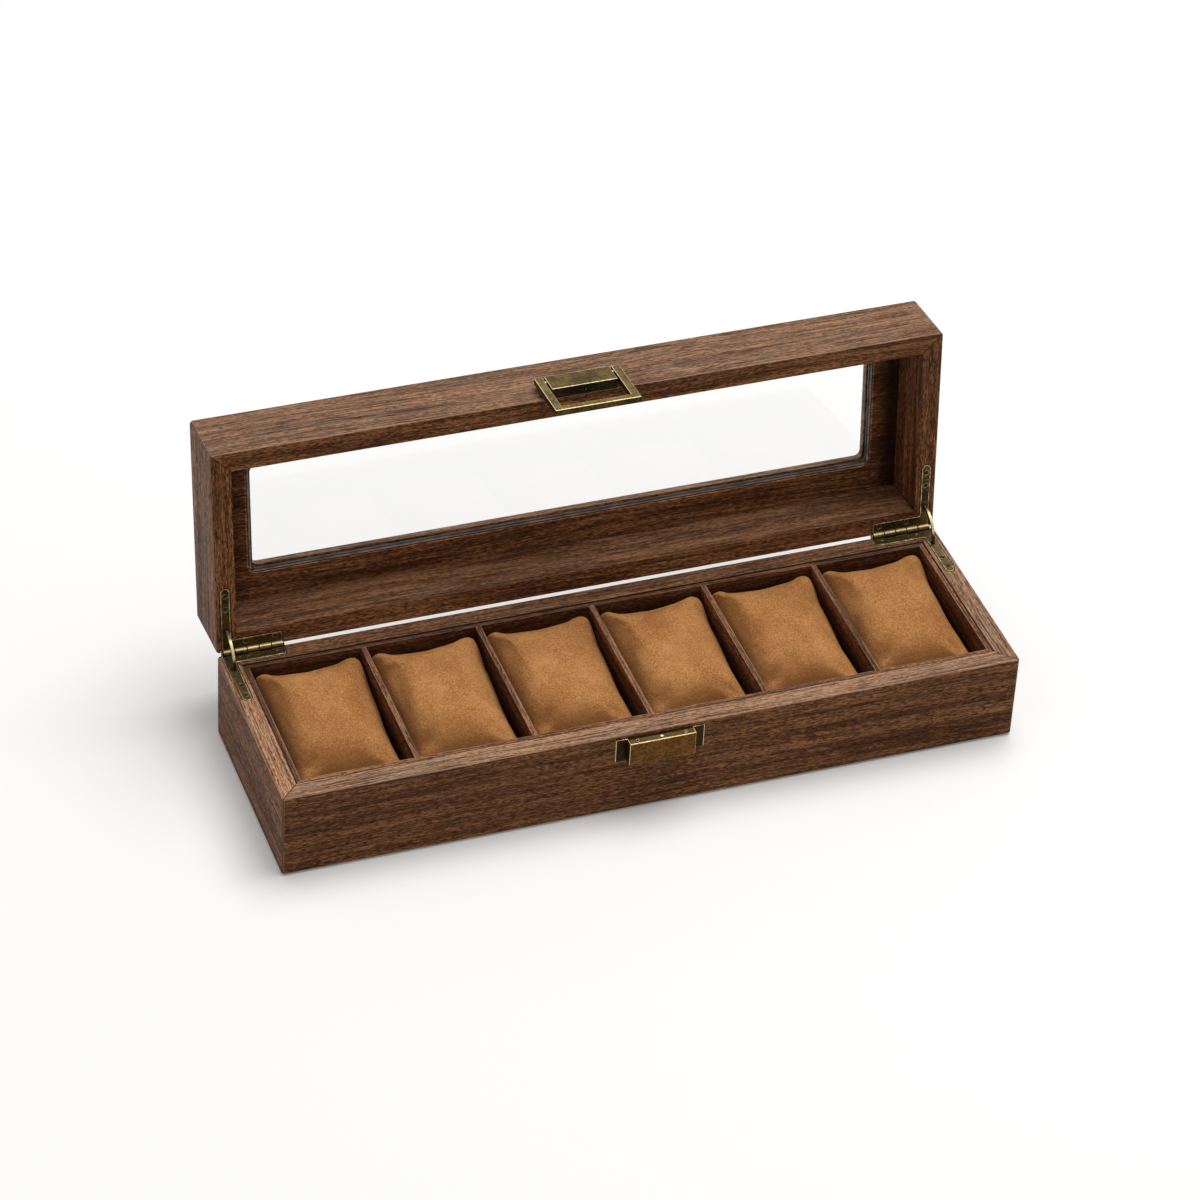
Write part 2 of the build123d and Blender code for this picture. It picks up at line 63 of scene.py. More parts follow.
@dataclass(frozen=True)
class BoxPlan:
    """The sizes of the case that the dressing is laid out from, in metres and radians."""

    length: float = 330.0 * MM
    depth: float = 98.0 * MM
    base_height: float = 41.5 * MM
    base_wall: float = 8.8 * MM
    liner_gap: float = 0.2 * MM
    liner: float = 2.1 * MM
    divider: float = 2.3 * MM
    lid_rim: float = 42.0 * MM
    hinge_y: float = 49.3 * MM
    hinge_z: float = 41.75 * MM
    leaf_inset: float = 2.5 * MM
    knuckle: float = 5.34 * MM
    open_angle: float = math.radians(96.0)
    cells: int = 6
    pitch: float = 51.683 * MM
    tray_depth: float = 75.8 * MM
    window_length: float = 286.0 * MM
    window_depth: float = 54.0 * MM

    @property
    def half_length(self) -> float:
        """Gives the x of the right wall's outer face."""
        return self.length / 2

    @property
    def half_depth(self) -> float:
        """Gives the y of the back wall's outer face."""
        return self.depth / 2

    def swung(self, points: np.ndarray) -> np.ndarray:
        """Turns points drawn with the lid shut to where the open lid holds them.

        Formula: y and z turn by minus the open angle about the hinge axis, x stays.

        Args:
            points: Array of (count, 3) places with the lid shut.

        Returns:
            The same array of places on the open lid.
        """
        cosine, sine = math.cos(self.open_angle), math.sin(self.open_angle)
        y, z = points[:, 1] - self.hinge_y, points[:, 2] - self.hinge_z
        open_y = self.hinge_y + y * cosine + z * sine
        open_z = self.hinge_z - y * sine + z * cosine
        return np.column_stack((points[:, 0], open_y, open_z))

    def on_lid_rim(self, points: np.ndarray) -> np.ndarray:
        """Mirrors points on the rim of the base to the rim of the open lid.

        Formula: z becomes twice the height of the hinge axis less z, and then the points
        turn with the lid.

        Args:
            points: Array of (count, 3) places on the rim of the base.

        Returns:
            The same array of places on the open lid.
        """
        return self.swung(points * (1.0, 1.0, -1.0) + (0.0, 0.0, 2 * self.hinge_z))

    def cell_centres(self) -> np.ndarray:
        """Gives the x of the middle of each compartment, left to right."""
        return (np.arange(self.cells) - (self.cells - 1) / 2) * self.pitch


PLAN = BoxPlan()


class Held(Enum):
    """What carries a piece, and so how its pattern turns with it."""

    BASE = "base"
    LID = "lid"


class Grain(Enum):
    """The way the grain of a board runs in the shut box, as a turn about each axis."""

    LENGTH = (0.0, 0.0, 0.0)
    DEPTH = (0.0, 0.0, -math.pi / 2)


BOARDS = (
    ("front", Grain.LENGTH),
    ("back", Grain.LENGTH),
    ("left", Grain.DEPTH),
    ("right", Grain.DEPTH),
)


class Bench:
    """Lays out the nodes of one finish, from coordinates to shader."""

    def __init__(self, name: str, held: Held = Held.BASE) -> None:
        """Starts an empty material.

        Args:
            name: Name of the material.
            held: What carries the piece, for the coordinates of its pattern.
        """
        self.material = bpy.data.materials.new(name)
        self.material.use_nodes = True
        self.tree = self.material.node_tree
        self.tree.nodes.clear()
        self.held = held
        self.coordinates = self.node("ShaderNodeTexCoord")

    def node(self, kind: str, **settings: object) -> bpy.types.Node:
        """Adds a node.

        Args:
            kind: Blender's name of the node type.
            **settings: Properties to set on it.

        Returns:
            The new node.
        """
        made = self.tree.nodes.new(kind)
        for key, value in settings.items():
            setattr(made, key, value)
        return made

    def feed(self, socket: Socket, value: Value) -> None:
        """Links a socket to another, or sets its number or colour.

        Args:
            socket: The input to fill.
            value: A socket, a number or three numbers.
        """
        if isinstance(value, bpy.types.NodeSocket):
            self.tree.links.new(value, socket)
        elif isinstance(value, tuple) and len(socket.default_value) == 4:
            socket.default_value = (*value, 1.0)
        else:
            socket.default_value = value

    def spot(self) -> Socket:
        """Gives the place on the piece, turned back to the shut box if the lid holds it."""
        place = self.coordinates.outputs["Object"]
        if self.held is Held.BASE:
            return place
        turn = Matrix.Rotation(PLAN.open_angle, 3, "X")
        hinge = Vector((0.0, PLAN.hinge_y, PLAN.hinge_z))
        return self.mapped(place, tuple(hinge - turn @ hinge), (PLAN.open_angle, 0.0, 0.0))

    def facing(self) -> Socket:
        """Gives the way the surface faces, turned back to the shut box if the lid holds it."""
        normal = self.coordinates.outputs["Normal"]
        if self.held is Held.BASE:
            return normal
        return self.mapped(normal, STILL, (PLAN.open_angle, 0.0, 0.0))

    def mapped(
        self, vector: Value, location: Triple, rotation: Triple, scale: Triple = (1.0, 1.0, 1.0)
    ) -> Socket:
        """Scales, turns and then moves a vector with a Mapping node.

        Args:
            vector: The vector to map.
            location: Move, in metres.
            rotation: Turn about each axis, in radians.
            scale: Scale on each axis.

        Returns:
            The mapped vector.
        """
        mapping = self.node("ShaderNodeMapping")
        self.feed(mapping.inputs["Vector"], vector)
        mapping.inputs["Location"].default_value = location
        mapping.inputs["Rotation"].default_value = rotation
        mapping.inputs["Scale"].default_value = scale
        return mapping.outputs["Vector"]

    def noise(
        self,
        vector: Value,
        per_metre: Triple,
        detail: float = 2.0,
        rough: float = 0.5,
        colour: bool = False,
    ) -> Socket:
        """Makes cloudy noise with its own fineness along each axis.

        Args:
            vector: Where to read it.
            per_metre: How many lumps there are to a metre along each axis.
            detail: How many finer layers it has.
            rough: How strong the finer layers are.
            colour: Gives three numbers in place of one.

        Returns:
            The noise, about 0.3 to 0.7.
        """
        made = self.node("ShaderNodeTexNoise", noise_dimensions="3D")
        stretched = self.mapped(vector, STILL, STILL, per_metre)
        self.feed(made.inputs["Vector"], stretched)
        made.inputs["Scale"].default_value = 1.0
        made.inputs["Detail"].default_value = detail
        made.inputs["Roughness"].default_value = rough
        return made.outputs["Color"] if colour else made.outputs[0]

    def bands(self, distance: Socket, per_metre: float, detail: float = 2.0) -> Socket:
        """Makes noise of one number, such as rings of growth by their distance.

        Args:
            distance: The number, in metres.
            per_metre: How many bands there are to a metre.
            detail: How many finer layers it has.

        Returns:
            The noise, about 0.3 to 0.7.
        """
        made = self.node("ShaderNodeTexNoise", noise_dimensions="1D")
        self.feed(made.inputs["W"], distance)
        made.inputs["Scale"].default_value = per_metre
        made.inputs["Detail"].default_value = detail
        return made.outputs[0]

    def math(self, operation: str, *values: Value) -> Socket:
        """Works out one number from others with a Math node.

        Args:
            operation: Blender's name of the operation.
            *values: Its one, two or three numbers.

        Returns:
            The result.
        """
        made = self.node("ShaderNodeMath", operation=operation)
        for socket, value in zip(made.inputs, values):
            self.feed(socket, value)
        return made.outputs[0]

    def product(self, first: Value, *others: Value) -> Socket:
        """Multiplies numbers, one after another.

        Args:
            first: The first number.
            *others: What it is multiplied by.

        Returns:
            The product.
        """
        for other in others:
            first = self.math("MULTIPLY", first, other)
        return first

    def weighed(self, first: tuple[Socket, float], *others: tuple[Socket, float]) -> Socket:
        """Adds up numbers by their weights.

        Args:
            first: The first number and its weight.
            *others: The other numbers and their weights.

        Returns:
            The sum.
        """
        total = self.math("MULTIPLY", *first)
        for value, weight in others:
            total = self.math("MULTIPLY_ADD", value, weight, total)
        return total

    def vector_math(self, operation: str, *values: Value) -> Socket:
        """Works out a vector from others with a Vector Math node.

        Args:
            operation: Blender's name of the operation.
            *values: Its vectors.

        Returns:
            The resulting vector, or the number for LENGTH.
        """
        made = self.node("ShaderNodeVectorMath", operation=operation)
        for socket, value in zip(made.inputs, values):
            self.feed(socket, value)
        return made.outputs["Value" if operation == "LENGTH" else "Vector"]

    def parts(self, vector: Socket) -> tuple[Socket, Socket, Socket]:
        """Splits a vector into its x, y and z."""
        made = self.node("ShaderNodeSeparateXYZ")
        self.feed(made.inputs[0], vector)
        return made.outputs[0], made.outputs[1], made.outputs[2]

    def nudged(self, line: Socket, read_at: Socket, per_metre: Triple, aside: float) -> Socket:
        """Makes the lines of the grain wander to both sides of their run.

        Args:
            line: The places that are moved.
            read_at: The places where the wandering is read.
            per_metre: How many turns there are to a metre along each axis.
            aside: How far they go, in metres.

        Returns:
            The moved places.
        """
        wander = self.noise(read_at, per_metre, 2.0, 0.5, colour=True)
        level = self.vector_math("SUBTRACT", wander, (0.5, 0.5, 0.5))
        move = self.vector_math("MULTIPLY", level, (0.0, aside, aside))
        return self.vector_math("ADD", line, move)

    def outside(self, spot: Socket, half_length: float, half_depth: float) -> Socket:
        """Gives how far a place lies outside an oblong in plan, below 0 inside it.

        Args:
            spot: The place.
            half_length: Half the length of the oblong, along x.
            half_depth: Half its depth, along y.

        Returns:
            The larger of the two distances, in metres.
        """
        x, y, _ = self.parts(self.vector_math("ABSOLUTE", spot))
        beyond_x = self.math("SUBTRACT", x, half_length)
        beyond_y = self.math("SUBTRACT", y, half_depth)
        return self.math("MAXIMUM", beyond_x, beyond_y)

    def between(
        self, value: Value, low: float, high: float, start: float = 0.0, end: float = 1.0
    ) -> Socket:
        """Eases a number smoothly from start to end while it goes from low to high.

        Args:
            value: The number.
            low: Where the change begins.
            high: Where it is over.
            start: The result up to low.
            end: The result from high on.

        Returns:
            The eased number.
        """
        made = self.node("ShaderNodeMapRange", interpolation_type="SMOOTHSTEP")
        for name, given in (
            ("Value", value),
            ("From Min", low),
            ("From Max", high),
            ("To Min", start),
            ("To Max", end),
        ):
            self.feed(made.inputs[name], given)
        return made.outputs[0]

    def ramp(self, value: Socket, stops: Sequence[tuple[float, Triple]]) -> Socket:
        """Turns a number into a colour.

        Args:
            value: The number, 0 to 1.
            stops: Places along the ramp and their colours.

        Returns:
            The colour.
        """
        made = self.node("ShaderNodeValToRGB")
        ramp = made.color_ramp
        while len(ramp.elements) < len(stops):
            ramp.elements.new(0.5)
        for element, (place, colour) in zip(ramp.elements, stops):
            element.position = place
            element.color = (*colour, 1.0)
        self.feed(made.inputs[0], value)
        return made.outputs["Color"]

    def blend(self, share: Value, first: Value, second: Value, mode: str = "MIX") -> Socket:
        """Mixes two colours.

        Args:
            share: How much of the second there is, 0 to 1.
            first: The first colour.
            second: The second colour.
            mode: Blender's name of the way they mix.

        Returns:
            The mixed colour.
        """
        made = self.node("ShaderNodeMix", data_type="RGBA", blend_type=mode)
        self.feed(made.inputs[0], share)
        self.feed(made.inputs[6], first)
        self.feed(made.inputs[7], second)
        return made.outputs[2]

    def bump(self, height: Socket, depth: float, strength: float = 1.0) -> Socket:
        """Turns a height of 0 to 1 into a bent normal.

        Args:
            height: The height.
            depth: What a height of 1 stands for, in metres.
            strength: Share of the bump that is used.

        Returns:
            The normal.
        """
        made = self.node("ShaderNodeBump")
        self.feed(made.inputs["Height"], height)
        made.inputs["Distance"].default_value = depth
        made.inputs["Strength"].default_value = strength
        return made.outputs["Normal"]

    def rounded_edges(self, low: float = 0.03, high: float = 0.16) -> Socket:
        """Gives 1 on rounded edges and 0 on faces square to the box.

        Args:
            low: Slant at which the edge mark begins.
            high: Slant at which it is full.

        Returns:
            The share of the edge mark: the largest of the three parts of the normal, taken from 1.
        """
        x, y, z = self.parts(self.vector_math("ABSOLUTE", self.facing()))
        largest = self.math("MAXIMUM", x, self.math("MAXIMUM", y, z))
        slant = self.math("SUBTRACT", 1.0, largest)
        return self.between(slant, low, high)

    def surface(self, **sockets: Value) -> bpy.types.Material:
        """Puts the one shader in and ends the material.

        Args:
            **sockets: Inputs of the shader, with underscores for spaces.

        Returns:
            The finished material.
        """
        shader = self.node("ShaderNodeBsdfPrincipled")
        for name, value in sockets.items():
            self.feed(shader.inputs[name.replace("_", " ")], value)
        return self.end(shader.outputs[0])

    def end(self, shader: Socket) -> bpy.types.Material:
        """Links a shader to the output and gives the material."""
        output = self.node("ShaderNodeOutputMaterial")
        self.tree.links.new(shader, output.inputs["Surface"])
        return self.material


class Figure(NamedTuple):
    """The marks of the grain on one board, each a number of about 0 to 1."""

    tone: Socket
    streaks: Socket
    strands: Socket
    open_pores: Socket


@dataclass(frozen=True)
class Walnut:
    """Open-pored dark walnut, oiled to a low sheen.

    The colour follows rings of growth round a pith outside the board, streaks and
    fibres that run with the grain, and short dark pores. Painted light lies on it too:
    a lighter top and a sheen on faces that look up, highlights on its rounded edges,
    and shade low in the tray and at the rims of the lid's inner face.

    Attributes:
        grain: The way the grain runs.
        held: What carries the board.
        board: Number of the board, which picks its part of the log.
        lightness: How light the wood is beside the plain walnut.
        red: How far it leans to red, 0 to 1.
        top_sheen: How much painted sheen lies in the grain of faces that look up.
        mitred: Whether the mitres' joints show at its ends.
        lined: Whether the joint with the liner boards shows.
        arris: How far the line of wear and painted highlight on the edge of its top lies from
            its middle line, or from the joint if it is lined, and 0 if it has none; a board
            with it is also darkened by painted shade low in the tray.
        middle: The x of its middle line.
        painted_top_light: How much lighter its top is painted than its other faces.
        corner_shaded: Whether painted shade lies at the rims of the inner face of the lid's panel.
        tones: Colours of the plain wood, from dark to light.
        rubbed_highlight: Colour of edges lightened by wear and a painted highlight.
        top_sheen_colour: Colour of the painted sheen.
        pore: Colour inside the pores.
        joint_dark: Colour of the joints.
        shaded: Colour of the painted shade on the thin boards low in the tray.
        corner_shade: Colour of the painted shade at those rims.
        mitre_line: From the middle of a mitre's joint, where its line thins and ends.
        liner_line: The same for the joint with the liner boards.
        arris_line: The same for the line of wear and painted highlight on the top edge.
        tray_shade: Heights between which the tray's boards come out of the dark.
        shade_right: The x between which the painted shade at the right begins.
        shade_left: The x between which the painted shade at the left ends.
        shade_front: The y between which the painted shade at the front ends.
    """

    grain: Grain
    held: Held = Held.BASE
    board: int = 0
    lightness: float = 1.0
    red: float = 0.0
    top_sheen: float = 0.24
    mitred: bool = False
    lined: bool = False
    arris: float = 0.0
    middle: float = 0.0
    painted_top_light: float = 1.0
    corner_shaded: bool = False
    tones: tuple[tuple[float, Triple], ...] = (
        (0.0, (0.066, 0.0228, 0.0078)),
        (0.35, (0.154, 0.0560, 0.0192)),
        (0.65, (0.268, 0.1075, 0.0410)),
        (1.0, (0.450, 0.2020, 0.0820)),
    )
    rubbed_highlight: Triple = (0.42, 0.27, 0.18)
    top_sheen_colour: Triple = (0.45, 0.34, 0.245)
    pore: Triple = (0.020, 0.010, 0.006)
    joint_dark: Triple = (0.012, 0.006, 0.004)
    shaded: Triple = (0.012, 0.005, 0.003)
    corner_shade: Triple = (0.010, 0.0045, 0.002)
    mitre_line: Pair = (0.14 * MM, 0.42 * MM)
    liner_line: Pair = (0.18 * MM, 0.50 * MM)
    arris_line: Pair = (0.22 * MM, 0.40 * MM)
    tray_shade: Pair = (27.0 * MM, 42.5 * MM)
    shade_right: Pair = (143.5 * MM, 152.5 * MM)
    shade_left: Pair = (-150.0 * MM, -142.0 * MM)
    shade_front: Pair = (-40.0 * MM, -29.0 * MM)

    def figure(self, bench: Bench, spot: Socket) -> Figure:
        """Works out the marks of the grain.

        Args:
            bench: Where the nodes are laid out.
            spot: The place on the board, in the shut box.

        Returns:
            The marks.
        """
        shift = (0.37 * self.board, 0.171 * self.board + 0.05, 0.093 * self.board + 0.02)
        pith = (0.0, shift[1] - 0.11, shift[2] + 0.19)
        run = bench.mapped(spot, shift, self.grain.value)
        line = bench.nudged(run, run, (5.0, 16.0, 16.0), 16.0 * MM)
        line = bench.nudged(line, run, (30.0, 90.0, 90.0), 1.2 * MM)
        from_pith = bench.vector_math("SUBTRACT", line, pith)
        spoke = bench.vector_math("MULTIPLY", from_pith, (0.0, 1.0, 1.0))
        rings = bench.bands(bench.vector_math("LENGTH", spoke), 150.0, 3.0)
        streaks = bench.noise(line, (7.0, 400.0, 400.0), 3.0, 0.6)
        strands = bench.noise(line, (19.0, 1700.0, 1700.0), 2.0, 0.6)
        fibres = bench.noise(line, (430.0, 3300.0, 3300.0), 1.0)
        clouds = bench.noise(run, (11.0, 40.0, 40.0), 2.0)
        tone = bench.weighed(
            (streaks, 0.52), (rings, 0.30), (strands, 0.46), (fibres, 0.60), (clouds, 0.22)
        )
        short = bench.between(bench.noise(line, (380.0, 2300.0, 2300.0), 1.0), 0.54, 0.62)
        long = bench.between(bench.noise(line, (60.0, 950.0, 950.0), 1.0), 0.59, 0.68)
        open_pores = bench.math("MAXIMUM", short, bench.product(long, 0.8))
        return Figure(tone, streaks, strands, open_pores)

    def wood(self, bench: Bench, figure: Figure, up: Socket) -> Socket:
        """Gives the colour of the plain wood with its pores, and the painted light on faces that
        look up: a lighter top and a sheen.

        Args:
            bench: Where the nodes are laid out.
            figure: The marks of the grain.
            up: How far the face looks up, -1 to 1.

        Returns:
            The colour.
        """
        light, leaf = self.lightness, 1.0 - 0.09 * self.red
        stops = [
            (place, (red * light, green * light * leaf, blue * light * leaf))
            for place, (red, green, blue) in self.tones
        ]
        colour = bench.ramp(bench.between(figure.tone, 0.85, 1.23), stops)
        colour = bench.blend(bench.product(figure.open_pores, 0.70), colour, self.pore)
        upward = bench.between(up, 0.4, 0.98)
        # painted light: the top is made lighter than the other faces
        if self.painted_top_light != 1.0:
            top = (self.painted_top_light, self.painted_top_light, self.painted_top_light)
            colour = bench.blend(upward, colour, top, "MULTIPLY")
        # painted sheen on faces that look up, strongest in the grain
        between_strands = bench.between(figure.strands, 0.36, 0.64, 0.1, 2.0)
        return bench.blend(bench.product(upward, self.top_sheen, between_strands), colour, self.top_sheen_colour)

    def edged(
        self, bench: Bench, colour: Socket, spot: Socket, up: Socket, wear_highlight_share: Socket
    ) -> Socket:
        """Draws the joints, the edges that wear and a painted highlight make lighter, and the
        painted shade low in the tray into the colour of the wood.

        Args:
            bench: Where the nodes are laid out.
            colour: The colour of the wood.
            spot: The place on the board, in the shut box.
            up: How far the face looks up, -1 to 1.
            wear_highlight_share: How much the grain takes of the wear and painted highlight.

        Returns:
            The colour.
        """
        # edges lightened by wear and a painted highlight
        wear_highlight_colour = tuple(part * self.lightness for part in self.rubbed_highlight)
        colour = bench.blend(bench.product(bench.rounded_edges(), wear_highlight_share), colour, wear_highlight_colour)
        x, y, height = bench.parts(bench.vector_math("ABSOLUTE", spot))
        if self.mitred:
            aside = bench.math("SUBTRACT", x, y)
            across = bench.math("SUBTRACT", aside, PLAN.half_length - PLAN.half_depth)
            joint = bench.between(bench.math("ABSOLUTE", across), *self.mitre_line, 0.85, 0.0)
            colour = bench.blend(joint, colour, self.joint_dark)
        if self.lined:
            inner_x, inner_y = PLAN.half_length - PLAN.base_wall, PLAN.half_depth - PLAN.base_wall
            from_joint = bench.math("ABSOLUTE", bench.outside(spot, inner_x, inner_y))
            joint = bench.between(from_joint, *self.liner_line, 0.85, 0.0)
            colour = bench.blend(joint, colour, self.joint_dark)
        if self.arris:
            # painted shade: the tray's boards grow darker towards the bottom
            deep = bench.between(height, *self.tray_shade, 0.88, 0.0)
            colour = bench.blend(deep, colour, self.shaded)
            if self.lined:
                inset = bench.math("ADD", from_joint, -self.arris)
            else:
                from_middle = bench.math("ADD", bench.parts(spot)[0], -self.middle)
                inset = bench.math("SUBTRACT", bench.math("ABSOLUTE", from_middle), self.arris)
            # a line of wear and painted highlight along the top edge
            line = bench.between(bench.math("ABSOLUTE", inset), *self.arris_line, 0.75, 0.0)
            line = bench.product(line, bench.between(up, 0.5, 0.9), wear_highlight_share)
            colour = bench.blend(line, colour, wear_highlight_colour)
        return colour

    def paint_corner_shade(self, bench: Bench, colour: Socket, spot: Socket) -> Socket:
        """Paints shade on the inner face of the lid's panel at its left, right and front rims.

        Args:
            bench: Where the nodes are laid out.
            colour: The colour of the wood.
            spot: The place on the board, in the shut box.

        Returns:
            The colour.
        """
        across, deep, _ = bench.parts(spot)
        right = bench.between(across, *self.shade_right, 0.15, 0.91)
        left = bench.between(across, *self.shade_left, 0.55, 0.10)
        front = bench.between(deep, *self.shade_front, 0.7, 0.0)
        dark = bench.math("MAXIMUM", bench.math("MAXIMUM", left, right), front)
        inner = bench.between(bench.parts(bench.facing())[2], -0.9, -0.4, 1.0, 0.0)
        return bench.blend(bench.product(dark, inner), colour, self.corner_shade)

    def material(self, name: str) -> bpy.types.Material:
        """Makes the walnut of one board.

        Args:
            name: Name of the material.

        Returns:
            The material.
        """
        bench = Bench(name, self.held)
        spot = bench.spot()
        figure = self.figure(bench, spot)
        _, _, up = bench.parts(bench.coordinates.outputs["Normal"])
        wear_highlight_share = bench.between(figure.strands, 0.35, 0.6, 0.4, 0.9)
        colour = self.wood(bench, figure, up)
        colour = self.edged(bench, colour, spot, up, wear_highlight_share)
        if self.corner_shaded:
            colour = self.paint_corner_shade(bench, colour, spot)
        relief = bench.weighed((figure.strands, 0.6), (figure.open_pores, -0.8))
        sheen = bench.between(figure.streaks, 0.35, 0.65, 0.54, 0.46)
        return bench.surface(
            Base_Color=colour,
            Roughness=bench.math("MULTIPLY_ADD", figure.open_pores, 0.2, sheen),
            Normal=bench.bump(relief, 0.22 * MM),
            Specular_IOR_Level=0.11,
        )


@dataclass(frozen=True)
class Suede:
    """Camel suede cloth with a short mottled nap and a sewn seam round the middle.

    Attributes:
        number: Number of the cushion, which picks its part of the cloth.
        seam_front: Height of the seam at the front.
        seam_rear: Height of the seam at the rear.
        tones: Colours of the nap, from dark to light.
        slope_shade: Colour of the painted shade on slopes that face the front and the left.
        in_seam: Colour in the seam.
    """

    number: int
    seam_front: float
    seam_rear: float
    tones: tuple[tuple[float, Triple], ...] = (
        (0.0, (0.325, 0.132, 0.040)),
        (0.5, (0.460, 0.202, 0.066)),
        (1.0, (0.620, 0.298, 0.108)),
    )
    slope_shade: Triple = (0.150, 0.052, 0.014)
    in_seam: Triple = (0.130, 0.052, 0.017)

    def seam(self, bench: Bench) -> Socket:
        """Gives 1 on the line of the seam, which climbs to the rear, and 0 beside it.

        Args:
            bench: Where the nodes are laid out.

        Returns:
            The share of the seam, on the sides of the cushion alone.
        """
        _, y, z = bench.parts(bench.coordinates.outputs["Object"])
        slope = (self.seam_rear - self.seam_front) / PLAN.tray_depth
        middle = (self.seam_rear + self.seam_front) / 2
        above = bench.math("SUBTRACT", z, bench.math("MULTIPLY_ADD", y, slope, middle))
        line = bench.between(bench.math("ABSOLUTE", above), 0.1 * MM, 0.7 * MM, 1.0, 0.0)
        normal = bench.vector_math("ABSOLUTE", bench.coordinates.outputs["Normal"])
        return bench.product(line, bench.between(bench.parts(normal)[2], 0.35, 0.6, 1.0, 0.0))

    def material(self, name: str) -> bpy.types.Material:
        """Makes the suede of one cushion.

        Args:
            name: Name of the material.

        Returns:
            The material.
        """
        bench = Bench(name)
        spot = bench.mapped(bench.spot(), (0.31 * self.number, 0.0, 0.0), STILL)
        brushed = bench.noise(spot, (60.0, 45.0, 60.0), 3.0, 0.6)
        mottle = bench.noise(spot, (560.0, 480.0, 560.0), 4.0, 0.75)
        nap = bench.noise(spot, (1500.0, 1300.0, 1500.0), 3.0, 0.7)
        tone = bench.weighed((mottle, 0.18), (brushed, 0.45), (nap, 0.90))
        colour = bench.ramp(bench.between(tone, 0.58, 0.95), self.tones)
        # painted shade on slopes that face the front and the left
        rightward, rearward, _ = bench.parts(bench.coordinates.outputs["Normal"])
        lean = bench.weighed((rearward, -0.92), (rightward, -0.60))
        shaded = bench.between(lean, 0.10, 0.62, 0.0, 0.68)
        colour = bench.blend(shaded, colour, self.slope_shade)
        seam = self.seam(bench)
        colour = bench.blend(bench.product(seam, 0.7), colour, self.in_seam)
        pile = bench.weighed((nap, 0.8), (mottle, 0.9), (seam, -2.0))
        return bench.surface(
            Base_Color=colour,
            Roughness=bench.between(mottle, 0.3, 0.7, 0.82, 0.95),
            Normal=bench.bump(pile, 0.2 * MM),
            Specular_IOR_Level=0.06,
            Sheen_Weight=0.10,
            Sheen_Roughness=0.5,
            Sheen_Tint=(0.95, 0.60, 0.32),
        )


